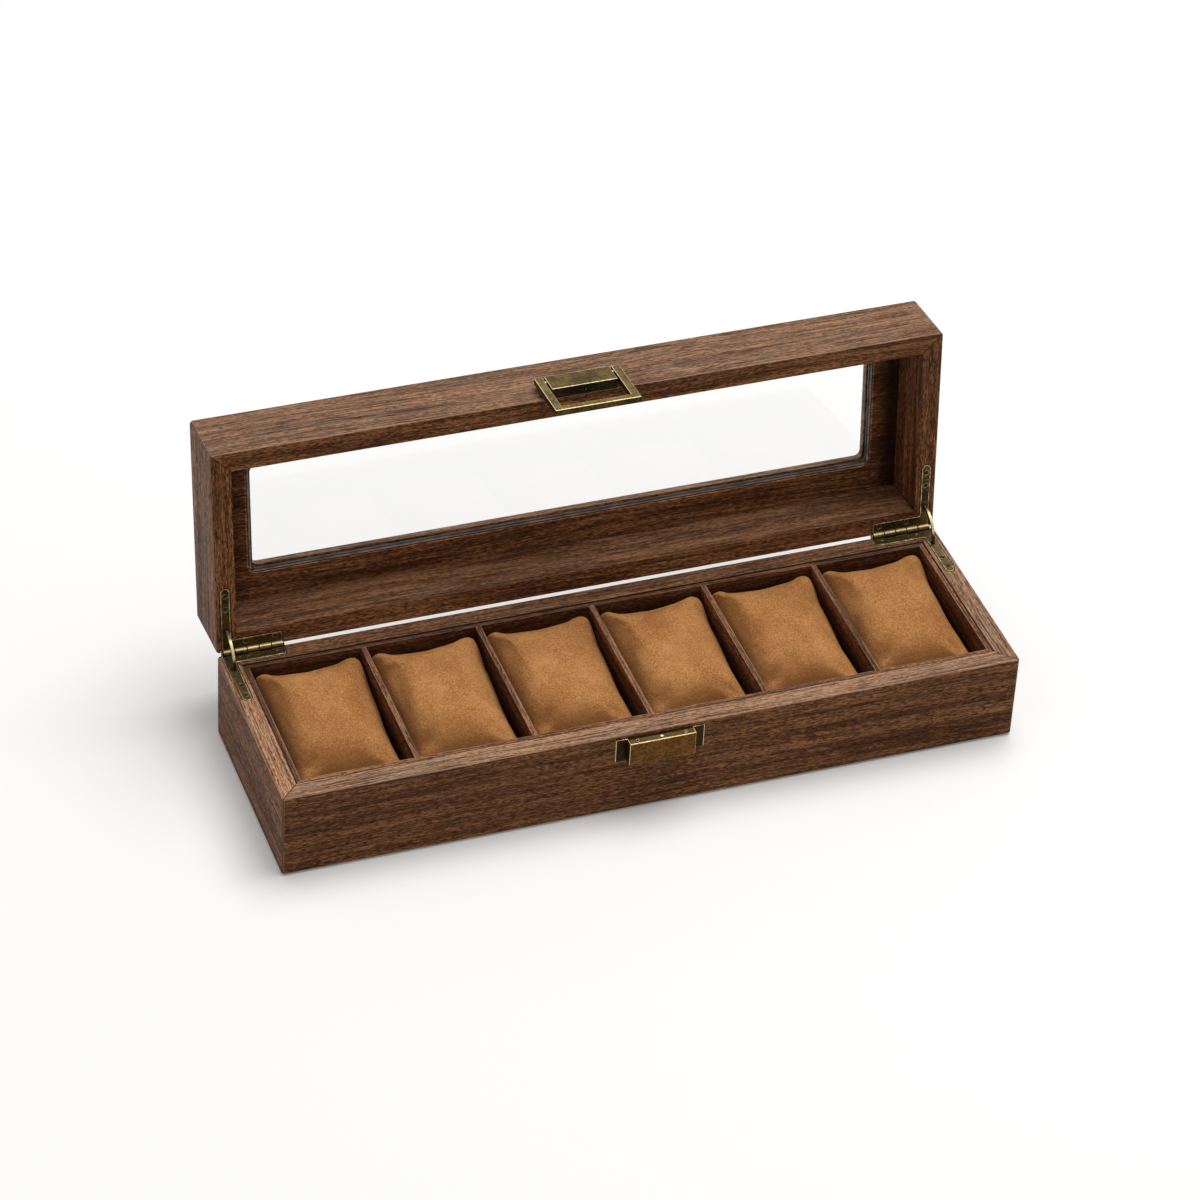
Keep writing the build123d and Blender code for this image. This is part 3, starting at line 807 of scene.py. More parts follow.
@dataclass(frozen=True)
class AgedBrass:
    """Brass that has gone brown and green with age, and is bright where hands rub it.

    Faces that look up carry a painted sheen, and its edges are bright with wear and a
    painted highlight.

    Attributes:
        dark: Colour of the darkest tarnish.
        bright: Colour of the lighter tarnish.
        top_sheen: Colour of the painted sheen on faces that look up.
        rubbed_highlight: Colour of edges bright with wear and a painted highlight.
        top_sheen_share: How much of the painted sheen there is.
        polish: Roughness of the smoothest spots.
        metal: How metallic it is under the tarnish.
        knuckles: Whether it has the barrel of a hinge, with dark joints between knuckles,
            painted shade below the barrel and a painted highlight along its crest.
        wings: Whether it has the wings of the catch, with painted shade at their feet and
            bright tips.
        barrel_front: The y over which the barrel begins.
        barrel_top: The height over which it ends.
        wing_foot: The y over which the painted shade at the wings' feet sets in.
        wing_tip: The x over which they grow bright.
    """

    dark: Triple = (0.068, 0.028, 0.0045)
    bright: Triple = (0.150, 0.066, 0.0125)
    top_sheen: Triple = (0.135, 0.100, 0.042)
    rubbed_highlight: Triple = (0.85, 0.66, 0.32)
    top_sheen_share: float = 0.85
    polish: float = 0.36
    metal: float = 0.85
    knuckles: bool = False
    wings: bool = False
    barrel_front: Pair = (46.9 * MM, 47.5 * MM)
    barrel_top: Pair = (43.6 * MM, 44.1 * MM)
    wing_foot: Pair = (-50.7 * MM, -50.1 * MM)
    wing_tip: Pair = (19.48 * MM, 19.62 * MM)
    foot_shade: Triple = (0.008, 0.006, 0.003)
    under_shade: Triple = (0.011, 0.007, 0.003)
    crest_highlight: Triple = (0.50, 0.375, 0.175)
    knuckle_joint: Triple = (0.010, 0.007, 0.003)

    def barrel(self, bench: Bench, spot: Socket) -> Socket:
        """Gives 1 on the barrel of the hinge and 0 on its leaves."""
        _, y, z = bench.parts(bench.vector_math("ABSOLUTE", spot))
        rear = bench.between(y, *self.barrel_front)
        return bench.product(rear, bench.between(z, *self.barrel_top, 1.0, 0.0))

    def wing_marks(self, bench: Bench, colour: Socket, spot: Socket) -> Socket:
        """Paints shade at the feet of the catch's wings and brightens their tips.

        Args:
            bench: Where the nodes are laid out.
            colour: The colour of the brass.
            spot: The place on the fitting.

        Returns:
            The colour.
        """
        across, deep, _ = bench.parts(spot)
        # painted shade at the feet of the wings
        foot = bench.between(deep, *self.wing_foot, 0.0, 0.85)
        colour = bench.blend(foot, colour, self.foot_shade)
        tip = bench.between(bench.math("ABSOLUTE", across), *self.wing_tip, 0.0, 0.8)
        return bench.blend(tip, colour, self.rubbed_highlight)

    def knuckle_marks(self, bench: Bench, colour: Socket, spot: Socket, barrel: Socket) -> Socket:
        """Paints shade on the barrel below, darkens its joints, and paints a highlight on its
        crest.

        Args:
            bench: Where the nodes are laid out.
            colour: The colour of the brass.
            spot: The place on the fitting.
            barrel: The share of the barrel.

        Returns:
            The colour.
        """
        # painted shade below the barrel and a painted highlight along its crest
        _, rearward, up = bench.parts(bench.coordinates.outputs["Normal"])
        below = bench.between(up, 0.0, 0.62, 0.92, 0.0)
        before = bench.between(rearward, -0.45, 0.0, 1.0, 0.0)
        colour = bench.blend(bench.product(below, barrel, before), colour, self.under_shade)
        crest = bench.product(bench.between(up, 0.66, 0.93), barrel, 0.8)
        colour = bench.blend(crest, colour, self.crest_highlight)
        x, _, _ = bench.parts(bench.vector_math("ABSOLUTE", spot))
        inward = bench.math("SUBTRACT", PLAN.half_length - PLAN.leaf_inset, x)
        near = bench.math("PINGPONG", inward, PLAN.knuckle / 2)
        joint = bench.product(bench.between(near, 0.14 * MM, 0.34 * MM, 0.9, 0.0), barrel)
        return bench.blend(joint, colour, self.knuckle_joint)

    def material(self, name: str) -> bpy.types.Material:
        """Makes the brass of one fitting.

        Args:
            name: Name of the material.

        Returns:
            The material.
        """
        bench = Bench(name)
        spot = bench.spot()
        patches = bench.noise(spot, (130.0, 130.0, 130.0), 3.0, 0.6)
        specks = bench.noise(spot, (900.0, 900.0, 900.0), 3.0, 0.65)
        brushed = bench.noise(spot, (260.0, 2600.0, 2600.0), 2.0)
        tone = bench.weighed((patches, 0.55), (specks, 0.65), (brushed, 0.25))
        colour = bench.blend(bench.between(tone, 0.61, 0.86), self.dark, self.bright)
        # painted sheen paling the faces that look up
        _, _, up = bench.parts(bench.coordinates.outputs["Normal"])
        top_sheen_spread = bench.between(tone, 0.60, 0.86, 0.30, 1.1)
        top_sheen_mix = bench.product(bench.between(up, 0.5, 0.97), top_sheen_spread, self.top_sheen_share)
        colour = bench.blend(top_sheen_mix, colour, self.top_sheen)
        # edges bright with wear and a painted highlight
        edge = bench.product(bench.rounded_edges(0.03, 0.12), bench.between(specks, 0.25, 0.6, 0.6, 1.0))
        if self.knuckles:
            barrel = self.barrel(bench, spot)
            edge = bench.product(edge, bench.math("SUBTRACT", 1.0, barrel))
        colour = bench.blend(edge, colour, self.rubbed_highlight)
        if self.wings:
            colour = self.wing_marks(bench, colour, spot)
        if self.knuckles:
            colour = self.knuckle_marks(bench, colour, spot, barrel)
        return bench.surface(
            Base_Color=colour,
            Metallic=self.metal,
            Roughness=bench.between(tone, 0.58, 0.88, self.polish + 0.14, self.polish),
            Normal=bench.bump(bench.math("MULTIPLY_ADD", brushed, 0.4, specks), 0.03 * MM),
            Specular_IOR_Level=0.15,
        )


@dataclass(frozen=True)
class BrightMetal:
    """Metal kept bright by wear, fine lines round it and faint clouds of tarnish; on edge lines
    and rims also a painted highlight.
    """

    clean: Triple
    tarnish: Triple
    polish: float

    def material(self, name: str) -> bpy.types.Material:
        """Makes the bright metal.

        Args:
            name: Name of the material.

        Returns:
            The material.
        """
        bench = Bench(name)
        spot = bench.spot()
        clouds = bench.noise(spot, (420.0, 420.0, 420.0), 3.0, 0.6)
        lines = bench.noise(spot, (300.0, 3200.0, 3200.0), 2.0)
        tone = bench.weighed((clouds, 0.8), (lines, 0.4))
        colour = bench.blend(bench.between(tone, 0.48, 0.74), self.tarnish, self.clean)
        return bench.surface(
            Base_Color=colour,
            Metallic=1.0,
            Roughness=bench.between(clouds, 0.35, 0.65, self.polish + 0.1, self.polish),
            Normal=bench.bump(lines, 0.01 * MM),
        )


@dataclass(frozen=True)
class FloatGlass:
    """Clear float glass with the faintest grey in it, wavy by a hair."""

    tint: Triple = (0.952, 0.958, 0.958)

    def material(self, name: str) -> bpy.types.Material:
        """Makes the glass, which lets the lamps' light straight through.

        Args:
            name: Name of the material.

        Returns:
            The material.
        """
        bench = Bench(name, Held.LID)
        wave = bench.noise(bench.spot(), (14.0, 14.0, 14.0), 1.0)
        pane = bench.node("ShaderNodeBsdfPrincipled")
        bench.feed(pane.inputs["Base Color"], self.tint)
        pane.inputs["Roughness"].default_value = 0.0
        pane.inputs["IOR"].default_value = 1.38
        pane.inputs["Transmission Weight"].default_value = 1.0
        bench.feed(pane.inputs["Normal"], bench.bump(wave, 0.04 * MM, 0.2))
        clear = bench.node("ShaderNodeBsdfTransparent")
        bench.feed(clear.inputs["Color"], self.tint)
        rays = bench.node("ShaderNodeLightPath")
        mix = bench.node("ShaderNodeMixShader")
        bench.feed(mix.inputs[0], rays.outputs["Is Shadow Ray"])
        bench.tree.links.new(pane.outputs[0], mix.inputs[1])
        bench.tree.links.new(clear.outputs[0], mix.inputs[2])
        return bench.end(mix.outputs[0])


@dataclass(frozen=True)
class Cloth:
    """Short felt or lining cloth: a low nap of crossed fibres with specks of lint; in dark tones
    it also stands for painted shade.
    """

    low: Triple
    high: Triple
    held: Held = Held.BASE
    weave: float = 1300.0

    def material(self, name: str) -> bpy.types.Material:
        """Makes the cloth.

        Args:
            name: Name of the material.

        Returns:
            The material.
        """
        bench = Bench(name, self.held)
        spot = bench.spot()
        along = bench.noise(spot, (self.weave * 0.2, self.weave, self.weave), 2.0)
        over = bench.noise(spot, (self.weave, self.weave * 0.2, self.weave), 2.0)
        clouds = bench.noise(spot, (60.0, 60.0, 60.0), 2.0)
        tone = bench.math("MULTIPLY_ADD", clouds, 0.5, bench.math("MAXIMUM", along, over))
        colour = bench.blend(bench.between(tone, 0.65, 0.98), self.low, self.high)
        return bench.surface(
            Base_Color=colour,
            Roughness=bench.between(tone, 0.6, 1.0, 0.86, 0.96),
            Normal=bench.bump(tone, 0.2 * MM),
            Specular_IOR_Level=0.15,
            Sheen_Weight=0.15,
            Sheen_Roughness=0.5,
        )


@dataclass(frozen=True)
class GlazingBead:
    """Grey extruded bead with fine lines along it and a satin face, with painted shade along its
    inner and outer edges.
    """

    low: Triple = (0.235, 0.195, 0.172)
    high: Triple = (0.540, 0.465, 0.425)
    edge_shade: Triple = (0.020, 0.015, 0.012)
    inner_edge_shade: Pair = (-1.20 * MM, -0.95 * MM)
    outer_edge_shade: Pair = (-0.42 * MM, -0.22 * MM)

    def material(self, name: str) -> bpy.types.Material:
        """Makes the bead.

        Args:
            name: Name of the material.

        Returns:
            The material.
        """
        bench = Bench(name, Held.LID)
        spot = bench.spot()
        lines = bench.noise(spot, (40.0, 2400.0, 2400.0), 2.0)
        blotch = bench.noise(spot, (160.0, 160.0, 160.0), 2.0)
        tone = bench.weighed((blotch, 0.6), (lines, 0.5))
        colour = bench.blend(bench.between(tone, 0.42, 0.70), self.low, self.high)
        # painted shade along the bead's inner and outer edges
        outset = bench.outside(spot, PLAN.window_length / 2, PLAN.window_depth / 2)
        inner = bench.between(outset, *self.inner_edge_shade, 0.85, 0.0)
        outer = bench.between(outset, *self.outer_edge_shade, 0.0, 0.80)
        colour = bench.blend(bench.math("MAXIMUM", inner, outer), colour, self.edge_shade)
        return bench.surface(
            Base_Color=colour,
            Roughness=bench.between(blotch, 0.35, 0.65, 0.58, 0.46),
            Normal=bench.bump(lines, 0.04 * MM),
            Specular_IOR_Level=0.22,
        )


def paint(node: str, material: bpy.types.Material) -> None:
    """Gives a CAD node its finish.

    Args:
        node: Name of the node.
        material: The finish.
    """
    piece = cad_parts[node]
    if not piece.material_slots:
        piece.data.materials.append(material)
    for slot in piece.material_slots:
        slot.material = material
    log.info("%s: %s", node, material.name)


def make_piece(
    name: str, points: np.ndarray, faces: list[list[int]], material: bpy.types.Material
) -> bpy.types.Object:
    """Puts points and faces into a new smooth piece.

    Args:
        name: Name of the piece.
        points: Array of (count, 3) places.
        faces: Corners of each face.
        material: The finish.

    Returns:
        The new object, at the origin.
    """
    mesh = bpy.data.meshes.new(name)
    mesh.from_pydata(points.tolist(), [], faces)
    mesh.update()
    mesh.shade_smooth()
    mesh.materials.append(material)
    piece = bpy.data.objects.new(name, mesh)
    bpy.context.scene.collection.objects.link(piece)
    log.info("%s: %d faces", name, len(faces))
    return piece


def hand_over(piece: bpy.types.Object, body: str, stands_for: str = "") -> None:
    """Lets a new piece ride on a body, and hides the CAD node that it replaces, if any.

    Args:
        piece: The new piece.
        body: Body that it moves with.
        stands_for: The CAD node that it replaces, if any.
    """
    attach(piece, body)
    if stands_for:
        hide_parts(stands_for)


def turned_over(faces: list[list[int]]) -> list[list[int]]:
    """Turns faces to look the other way."""
    return [face[::-1] for face in faces]


def round_turns(count: int) -> np.ndarray:
    """Gives the turns of points spaced evenly round a circle, in radians."""
    return np.linspace(0.0, FULL_TURN, count, endpoint=False)


def tube_faces(rings: int, across: int, closed: bool) -> list[list[int]]:
    """Gives the faces of a tube of rings that turn anticlockwise about its run.

    Formula: point (ring, place) has the number ring times across plus place, and each
    face joins a place and the next with the same two of the next ring.

    Args:
        rings: How many rings there are.
        across: How many points a ring has.
        closed: Whether the last ring joins the first; if not, the ends get caps.

    Returns:
        The corners of each face.
    """
    last = rings if closed else rings - 1
    ring, place = np.meshgrid(np.arange(last), np.arange(across), indexing="ij")
    beside = (place + 1) % across
    here, there = ring * across, (ring + 1) % rings * across
    quads = np.stack((here + place, here + beside, there + beside, there + place), axis=-1)
    faces = quads.reshape(-1, 4).tolist()
    if not closed:
        faces.append(np.arange(across)[::-1].tolist())
        faces.append((np.arange(across) + (rings - 1) * across).tolist())
    return faces


def bead_along(
    path: np.ndarray, height: float, width: float, rise: float, closed: bool
) -> Shape:
    """Carries a low rounded bead along a path that lies flat at one height.

    Formula: each point is the path's point, plus its sideways direction times half the
    width times the cosine of a turn, with the rise times the sine of it on top of the
    height.

    Args:
        path: Array of (count, 2) places in plan.
        height: Height of the face that the bead lies on.
        width: Width of the bead.
        rise: How far it stands proud.
        closed: Whether the path goes all the way round.

    Returns:
        The points and the faces.
    """
    if closed:
        along = np.roll(path, -1, axis=0) - np.roll(path, 1, axis=0)
    else:
        along = np.gradient(path, axis=0)
    along /= np.linalg.norm(along, axis=1, keepdims=True)
    aside = np.column_stack((along[:, 1], -along[:, 0]))
    turn = round_turns(10)
    sideways = 0.5 * width * np.cos(turn)
    plan = path[:, None, :] + aside[:, None, :] * sideways[None, :, None]
    rises = np.broadcast_to(height + rise * np.sin(turn), plan.shape[:2])
    points = np.concatenate((plan, rises[..., None]), axis=2).reshape(-1, 3)
    return points, tube_faces(len(path), len(turn), closed)


def rings_round(
    centres: np.ndarray, radius: float, height: float, width: float, rise: float
) -> Shape:
    """Lays a thin rounded ring round each of many centres, all at one height.

    Formula: one circle of 24 points with a bead along it, moved to each centre.

    Args:
        centres: Array of (count, 2) places in plan.
        radius: Radius of the rings.
        height: Height of the face that they lie on.
        width: Width of the bead.
        rise: How far it stands proud.

    Returns:
        The points and the faces of all the rings.
    """
    turn = round_turns(24)
    circle = radius * np.column_stack((np.cos(turn), np.sin(turn)))
    points, faces = bead_along(circle, height, width, rise, True)
    moves = np.column_stack((centres, np.zeros(len(centres))))
    numbers = np.arange(len(centres)) * len(points)
    all_faces = (np.asarray(faces)[None, :, :] + numbers[:, None, None]).reshape(-1, 4)
    return (points[None, :, :] + moves[:, None, :]).reshape(-1, 3), all_faces.tolist()


def rounded_path(corners: Sequence[Pair], radii: Sequence[float], step: float) -> np.ndarray:
    """Rounds the inner corners of an open run of straight lines.

    Formula: each corner gives way to the arc that touches both of its lines, a distance
    of the radius times the tangent of half the turn from it.

    Args:
        corners: Ends and corners, in order.
        radii: One radius for each inner corner.
        step: Angle between points on an arc, in radians.

    Returns:
        Array of (count, 2) points.
    """
    spots = np.asarray(corners, dtype=float)
    pieces = [spots[:1]]
    for before, corner, after, radius in zip(spots, spots[1:], spots[2:], radii):
        come = (corner - before) / np.linalg.norm(corner - before)
        leave = (after - corner) / np.linalg.norm(after - corner)
        cross = come[0] * leave[1] - come[1] * leave[0]
        turn = math.atan2(cross, float(come @ leave))
        side = np.array((-come[1], come[0])) * math.copysign(1.0, turn)
        start = corner - come * radius * math.tan(abs(turn) / 2)
        angles = np.linspace(0.0, abs(turn), max(3, int(abs(turn) / step) + 1))[:, None]
        ahead, sideways = radius * np.sin(angles), radius * (1 - np.cos(angles))
        pieces.append(start + come * ahead + side * sideways)
    pieces.append(spots[-1:])
    return np.concatenate(pieces)


@dataclass(frozen=True)
class ScrewPattern:
    """A flat-headed screw with a cross in its slightly domed head.

    Attributes:
        head: Radius of the head.
        shank: Radius of the shank.
        length: Length from the head's face to the point.
        dome: How far the middle of the head stands up.
        spokes: How many points each ring of the mesh has.
        steps: Radii of the rings on the head, as shares of its own.
        cross_depth: Depth of the cross at its middle, as a share of the head.
        arm_side: Half the width of an arm, and how much of it slopes, as shares.
        arm_end: Reach of an arm, and how much of it slopes, as shares.
    """

    head: float
    shank: float
    length: float
    dome: float = 0.10 * MM
    spokes: int = 48
    steps: tuple[float, ...] = (
        0.10, 0.18, 0.26, 0.34, 0.42, 0.50, 0.58, 0.66, 0.75, 0.86, 0.95, 1.0,
    )
    cross_depth: float = 0.34
    arm_side: Pair = (0.24, 0.10)
    arm_end: Pair = (0.70, 0.12)

    def face(self, turn: np.ndarray) -> tuple[np.ndarray, np.ndarray]:
        """Works out the face of the head with its cross.

        Formula: the height is the dome, which falls with the square of the distance
        out, less the cross, whose depth falls to nothing at the ends of its arms and at
        their sides.

        Args:
            turn: Turns of the points of a ring, in radians.

        Returns:
            The (ring, turn) distances out from the middle, and the heights.
        """
        out = self.head * np.array(self.steps)[:, None] * np.ones_like(turn)
        x, y = abs(out * np.cos(turn)) / self.head, abs(out * np.sin(turn)) / self.head
        thin, long = np.minimum(x, y), np.maximum(x, y)
        arm = np.clip((self.arm_side[0] - thin) / self.arm_side[1], 0.0, 1.0)
        arm = arm * np.clip((self.arm_end[0] - long) / self.arm_end[1], 0.0, 1.0)
        cross = self.cross_depth * self.head * arm * (1 - 0.6 * long)
        height = self.dome * (1 - (out / self.head) ** 2) - cross
        height[-1] = -0.04 * self.head
        return out, height

    def surface(self) -> Shape:
        """Works out one screw with its head at the origin and its point along -z.

        Formula: a profile turned about z. Its rings are those of the head's face, then
        the rim below the head, the top and the foot of the shank and the taper.

        Returns:
            The points and the faces, with a single point at each end.
        """
        turn = round_turns(self.spokes)
        face_out, face_height = self.face(turn)
        below = np.array(
            (
                (self.head, -0.10 * self.head),
                (self.shank, self.shank - self.head),
                (self.shank, -0.8 * self.length),
                (0.7 * self.shank, -0.95 * self.length),
            )
        )
        below_out, below_height = np.repeat(below.T[:, :, None], self.spokes, axis=2)
        out = np.concatenate((face_out, below_out))
        height = np.concatenate((face_height, below_height))
        rings = np.stack((out * np.cos(turn), out * np.sin(turn), height), axis=2)
        middle = (0.0, 0.0, self.dome - self.cross_depth * self.head)
        points = np.concatenate((rings.reshape(-1, 3), [middle, (0.0, 0.0, -self.length)]))
        tube = turned_over(tube_faces(len(rings), self.spokes, False)[:-2])
        place, last = np.arange(self.spokes), (len(rings) - 1) * self.spokes
        beside = (place + 1) % self.spokes
        crown = np.stack((place, beside, np.full(self.spokes, len(points) - 2)), axis=1)
        tip_number = np.full(self.spokes, len(points) - 1)
        tip = np.stack((last + beside, last + place, tip_number), axis=1)
        return points, tube + crown.tolist() + tip.tolist()

    def driven(self, places: np.ndarray, outward: Triple, turns: Sequence[float]) -> Shape:
        """Sets one screw at each place.

        Formula: the points of one screw, spun by its own turn, stood up along the way
        the heads face and moved to its place.

        Args:
            places: Array of (count, 3) places of the heads.
            outward: The way the heads face.
            turns: How far each screw is turned, in radians.

        Returns:
            The points and faces of all of them.
        """
        points, faces = self.surface()
        stand = Vector((0.0, 0.0, 1.0)).rotation_difference(Vector(outward)).to_matrix()
        spins = np.array([np.array(stand @ Matrix.Rotation(turn, 3, "Z")) for turn in turns])
        all_points = np.einsum("kij,vj->kvi", spins, points) + places[:, None, :]
        all_faces = [
            [corner + index * len(points) for corner in face]
            for index in range(len(places))
            for face in faces
        ]
        return all_points.reshape(-1, 3), all_faces


@dataclass
class Case:
    """The base of the box: four mitred walls, the bottom, its felt and the lining."""

    felt: Cloth = Cloth((0.010, 0.009, 0.008), (0.045, 0.040, 0.036))
    lining: Cloth = Cloth((0.070, 0.032, 0.013), (0.150, 0.072, 0.030))
    # painted light on each wall: how much lighter its top is, and its painted sheen
    painted_top_lights: tuple[float, ...] = (1.36, 1.0, 1.8, 1.32)
    top_sheens: tuple[float, ...] = (0.30, 0.10, 0.26, 0.30)

    def dress(self) -> None:
        """Gives each board its own walnut, and the soft sheets their cloth."""
        for board, (side, grain) in enumerate(BOARDS):
            walnut = Walnut(
                grain,
                board=board + 1,
                mitred=True,
                lined=True,
                painted_top_light=self.painted_top_lights[board],
                top_sheen=self.top_sheens[board],
            )
            paint(f"base_{side}_wall", walnut.material(f"walnut, base {side}"))
        bottom = Walnut(Grain.LENGTH, board=9, lightness=0.9)
        paint("base_bottom_panel", bottom.material("walnut, bottom"))
        paint("base_felt", self.felt.material("black felt"))
        paint("floor_lining", self.lining.material("brown lining cloth"))


@dataclass
class Tray:
    """The liner boards and the five dividers that make six compartments."""

    lightness: float = 0.95
    back_shade: float = 0.62
    red: float = 1.0

    def dress(self) -> None:
        """Gives each thin board its own walnut."""
        for board, (side, grain) in enumerate(BOARDS):
            walnut = Walnut(
                grain,
                board=board + 11,
                lightness=self.lightness * (self.back_shade if side == "back" else 1.0),
                red=self.red,
                top_sheen=0.08,
                lined=True,
                arris=PLAN.liner_gap + PLAN.liner,
            )
            paint(f"liner_{side}", walnut.material(f"thin walnut, {side}"))
        for number in range(1, PLAN.cells):
            walnut = Walnut(
                Grain.DEPTH,
                board=number + 20,
                lightness=self.lightness,
                red=self.red,
                top_sheen=0.09,
                arris=PLAN.divider / 2,
                middle=(number - PLAN.cells / 2) * PLAN.pitch,
            )
            paint(f"divider_{number}", walnut.material(f"thin walnut, divider {number}"))


def hump(place: np.ndarray, at: float, wide: float) -> np.ndarray:
    """Gives a bell of 1 at one place along a line.

    Formula: e to the minus square of the distance over the width.

    Args:
        place: The places.
        at: Where the bell is 1.
        wide: Its width.

    Returns:
        The height of the bell at each place.
    """
    return np.exp(-(((place - at) / wide) ** 2))


def hill(
    x: np.ndarray,
    y: np.ndarray,
    at_x: float,
    at_y: float,
    wide_x: float,
    wide_y: float,
    turned: float = 0.0,
) -> np.ndarray:
    """Gives a bell of 1 at one place in plan, all in millimetres.

    Formula: e to the minus sum of the squares of the two distances over their widths,
    both taken along axes that are turned.

    Args:
        x: The places along the box.
        y: The places to the rear.
        at_x: Where the bell is 1, along the box.
        at_y: Where it is 1, to the rear.
        wide_x: Its width along its own first axis.
        wide_y: Its width along its own second axis.
        turned: How far its axes are turned, in radians.

    Returns:
        The height of the bell at each place.
    """
    across, deep = x - at_x, y - at_y
    first = (across * math.cos(turned) + deep * math.sin(turned)) / wide_x
    second = (deep * math.cos(turned) - across * math.sin(turned)) / wide_y
    return np.exp(-(first**2) - second**2)


@dataclass
class Cushion:
    """One loose pillow of suede over wadding, pressed into its compartment.

    It is crowned, its sides pull in between its corners, its rear corners stand up as
    soft ears and its front corners are pinched. It is flat only where it lies.

    Attributes:
        number: Number of its compartment, from the left.
        centre: The x of the compartment's middle.
        half_width: Half its width, before its sides pull in.
        half_depth: Half its depth.
        floor: Height that it lies on.
        seam_front: Height of its seam at the front.
        seam_rear: Height of its seam at the rear.
        crown: Height of its top.
        fall_front: How far its top falls at the front.
        fall_rear: How far it falls at the rear.
        pull_right: How far its right side pulls in.
        pull_left: How far its left side pulls in.
        drawn_in: How far its rear end draws in; the front draws in half as far.
        ear_left: Height of the ear at the left.
        ear_right: Height of the ear at the right.
        dip: Depth of the dip between the ears.
        pinch: Depth of the crease behind a front corner.
        point_left: Height of the left front corner's point.
        point_right: Height of the right front corner's point.
        ripple: Height of the faint ripple on top.
        rings: How many sections it is worked out at.
        spokes: How many points a section has.
        voxel: Size of the even mesh.
        most_swell: How far it may swell.
        room: Half the width and half the depth that it may fill.
        top: Height that it may fill.
        piece: Its object.
    """

    number: int
    centre: float
    half_width: float = 24.25 * MM
    half_depth: float = 37.1 * MM
    floor: float = 5.9 * MM
    seam_front: float = 20.0 * MM
    seam_rear: float = 27.0 * MM
    crown: float = 40.1 * MM
    fall_front: float = 13.5 * MM
    fall_rear: float = 1.5 * MM
    pull_right: float = 1.5 * MM
    pull_left: float = 0.9 * MM
    drawn_in: float = 1.7 * MM
    ear_left: float = 1.5 * MM
    ear_right: float = 1.7 * MM
    dip: float = 0.9 * MM
    pinch: float = 1.7 * MM
    point_left: float = 2.4 * MM
    point_right: float = 2.6 * MM
    ripple: float = 0.28 * MM
    rings: int = 65
    spokes: int = 112
    voxel: float = 1.45 * MM
    most_swell: float = 0.8 * MM
    room: Pair = (24.3 * MM, 37.5 * MM)
    top: float = 41.3 * MM
    piece: bpy.types.Object = field(init=False)

    def outline(self, along: np.ndarray, turn: np.ndarray) -> np.ndarray:
        """Works out the pillow before it swells.

        Formula: at each place along the depth the section is a rounded oblong, a power
        of the cosine of the turn across and of its sine up, above and below the height
        of the seam. Its width draws in by a bell between the corners, and its ends draw
        in between theirs. Its crown falls to the front by a power, and both crown and
        floor fall to the seam at the ends by a high power. Bells raise the four corners
        and sink a crease behind each front one.

        Args:
            along: Places along the depth, -1 at the front and 1 at the rear.
            turn: Turns round the section, in radians.

        Returns:
            Array of (along, turn, 3) points in metres, centred in x on the cushion.
        """
        s, t = along[:, None], turn[None, :]
        spread = np.random.default_rng(40 + self.number).uniform(-1.0, 1.0, 12)
        frontward = np.clip((-s - 0.1) / 0.9, 0.0, 1.0) ** 3.2
        rearward = np.clip((s - 0.4) / 0.6, 0.0, 1.0) ** 2
        crown = self.crown + 0.25 * MM * spread[0]
        crown = crown - self.fall_front * frontward - self.fall_rear * rearward
        seam = (self.seam_front + self.seam_rear) / 2 + s * (self.seam_rear - self.seam_front) / 2
        rear_end = np.clip(1 - np.clip(s, 0.0, 1.0) ** 20, 0.0, 1.0) ** (1 / 12)
        front_end = np.clip(1 - np.clip(-s, 0.0, 1.0) ** 9, 0.0, 1.0) ** (1 / 6)
        end = rear_end * front_end
        corner = np.clip(1 - np.abs(s) ** 20, 0.0, 1.0) ** (1 / 30)
        pull_right = self.pull_right * hump(s, -0.25, 0.5) * (1 + 0.25 * spread[1])
        pull_left = self.pull_left * hump(s, -0.1, 0.5) * (1 + 0.3 * spread[2])
        power = 2 / (3.3 + 4.2 * hump(s, 1.0, 0.24) + 1.6 * hump(s, -1.0, 0.22))
        cosine, sine = np.cos(t), np.sin(t)
        pull = np.where(cosine > 0, pull_right, pull_left)
        x = (self.half_width - pull) * corner * np.sign(cosine) * np.abs(cosine) ** power
        above = seam + (crown - seam) * end * np.abs(sine) ** power
        depth_below = seam - self.floor + 1.2 * MM
        below = seam - depth_below * end * np.abs(sine) ** (2 / 4.5)
        z = np.where(sine > 0, above, below)
        hollow = np.clip(1 - (x / self.half_width) ** 2, 0.0, 1.0) ** 1.3
        ends = hump(s, 1.0, 0.30) - 0.5 * hump(s, -1.0, 0.30)
        y = self.half_depth * s - self.drawn_in * hollow * ends
        share = np.clip((z - seam) / (crown - seam), 0.0, 1.0) ** 1.5
        return np.stack((x, y, z + self.lift(x, y, spread) * share), axis=2)

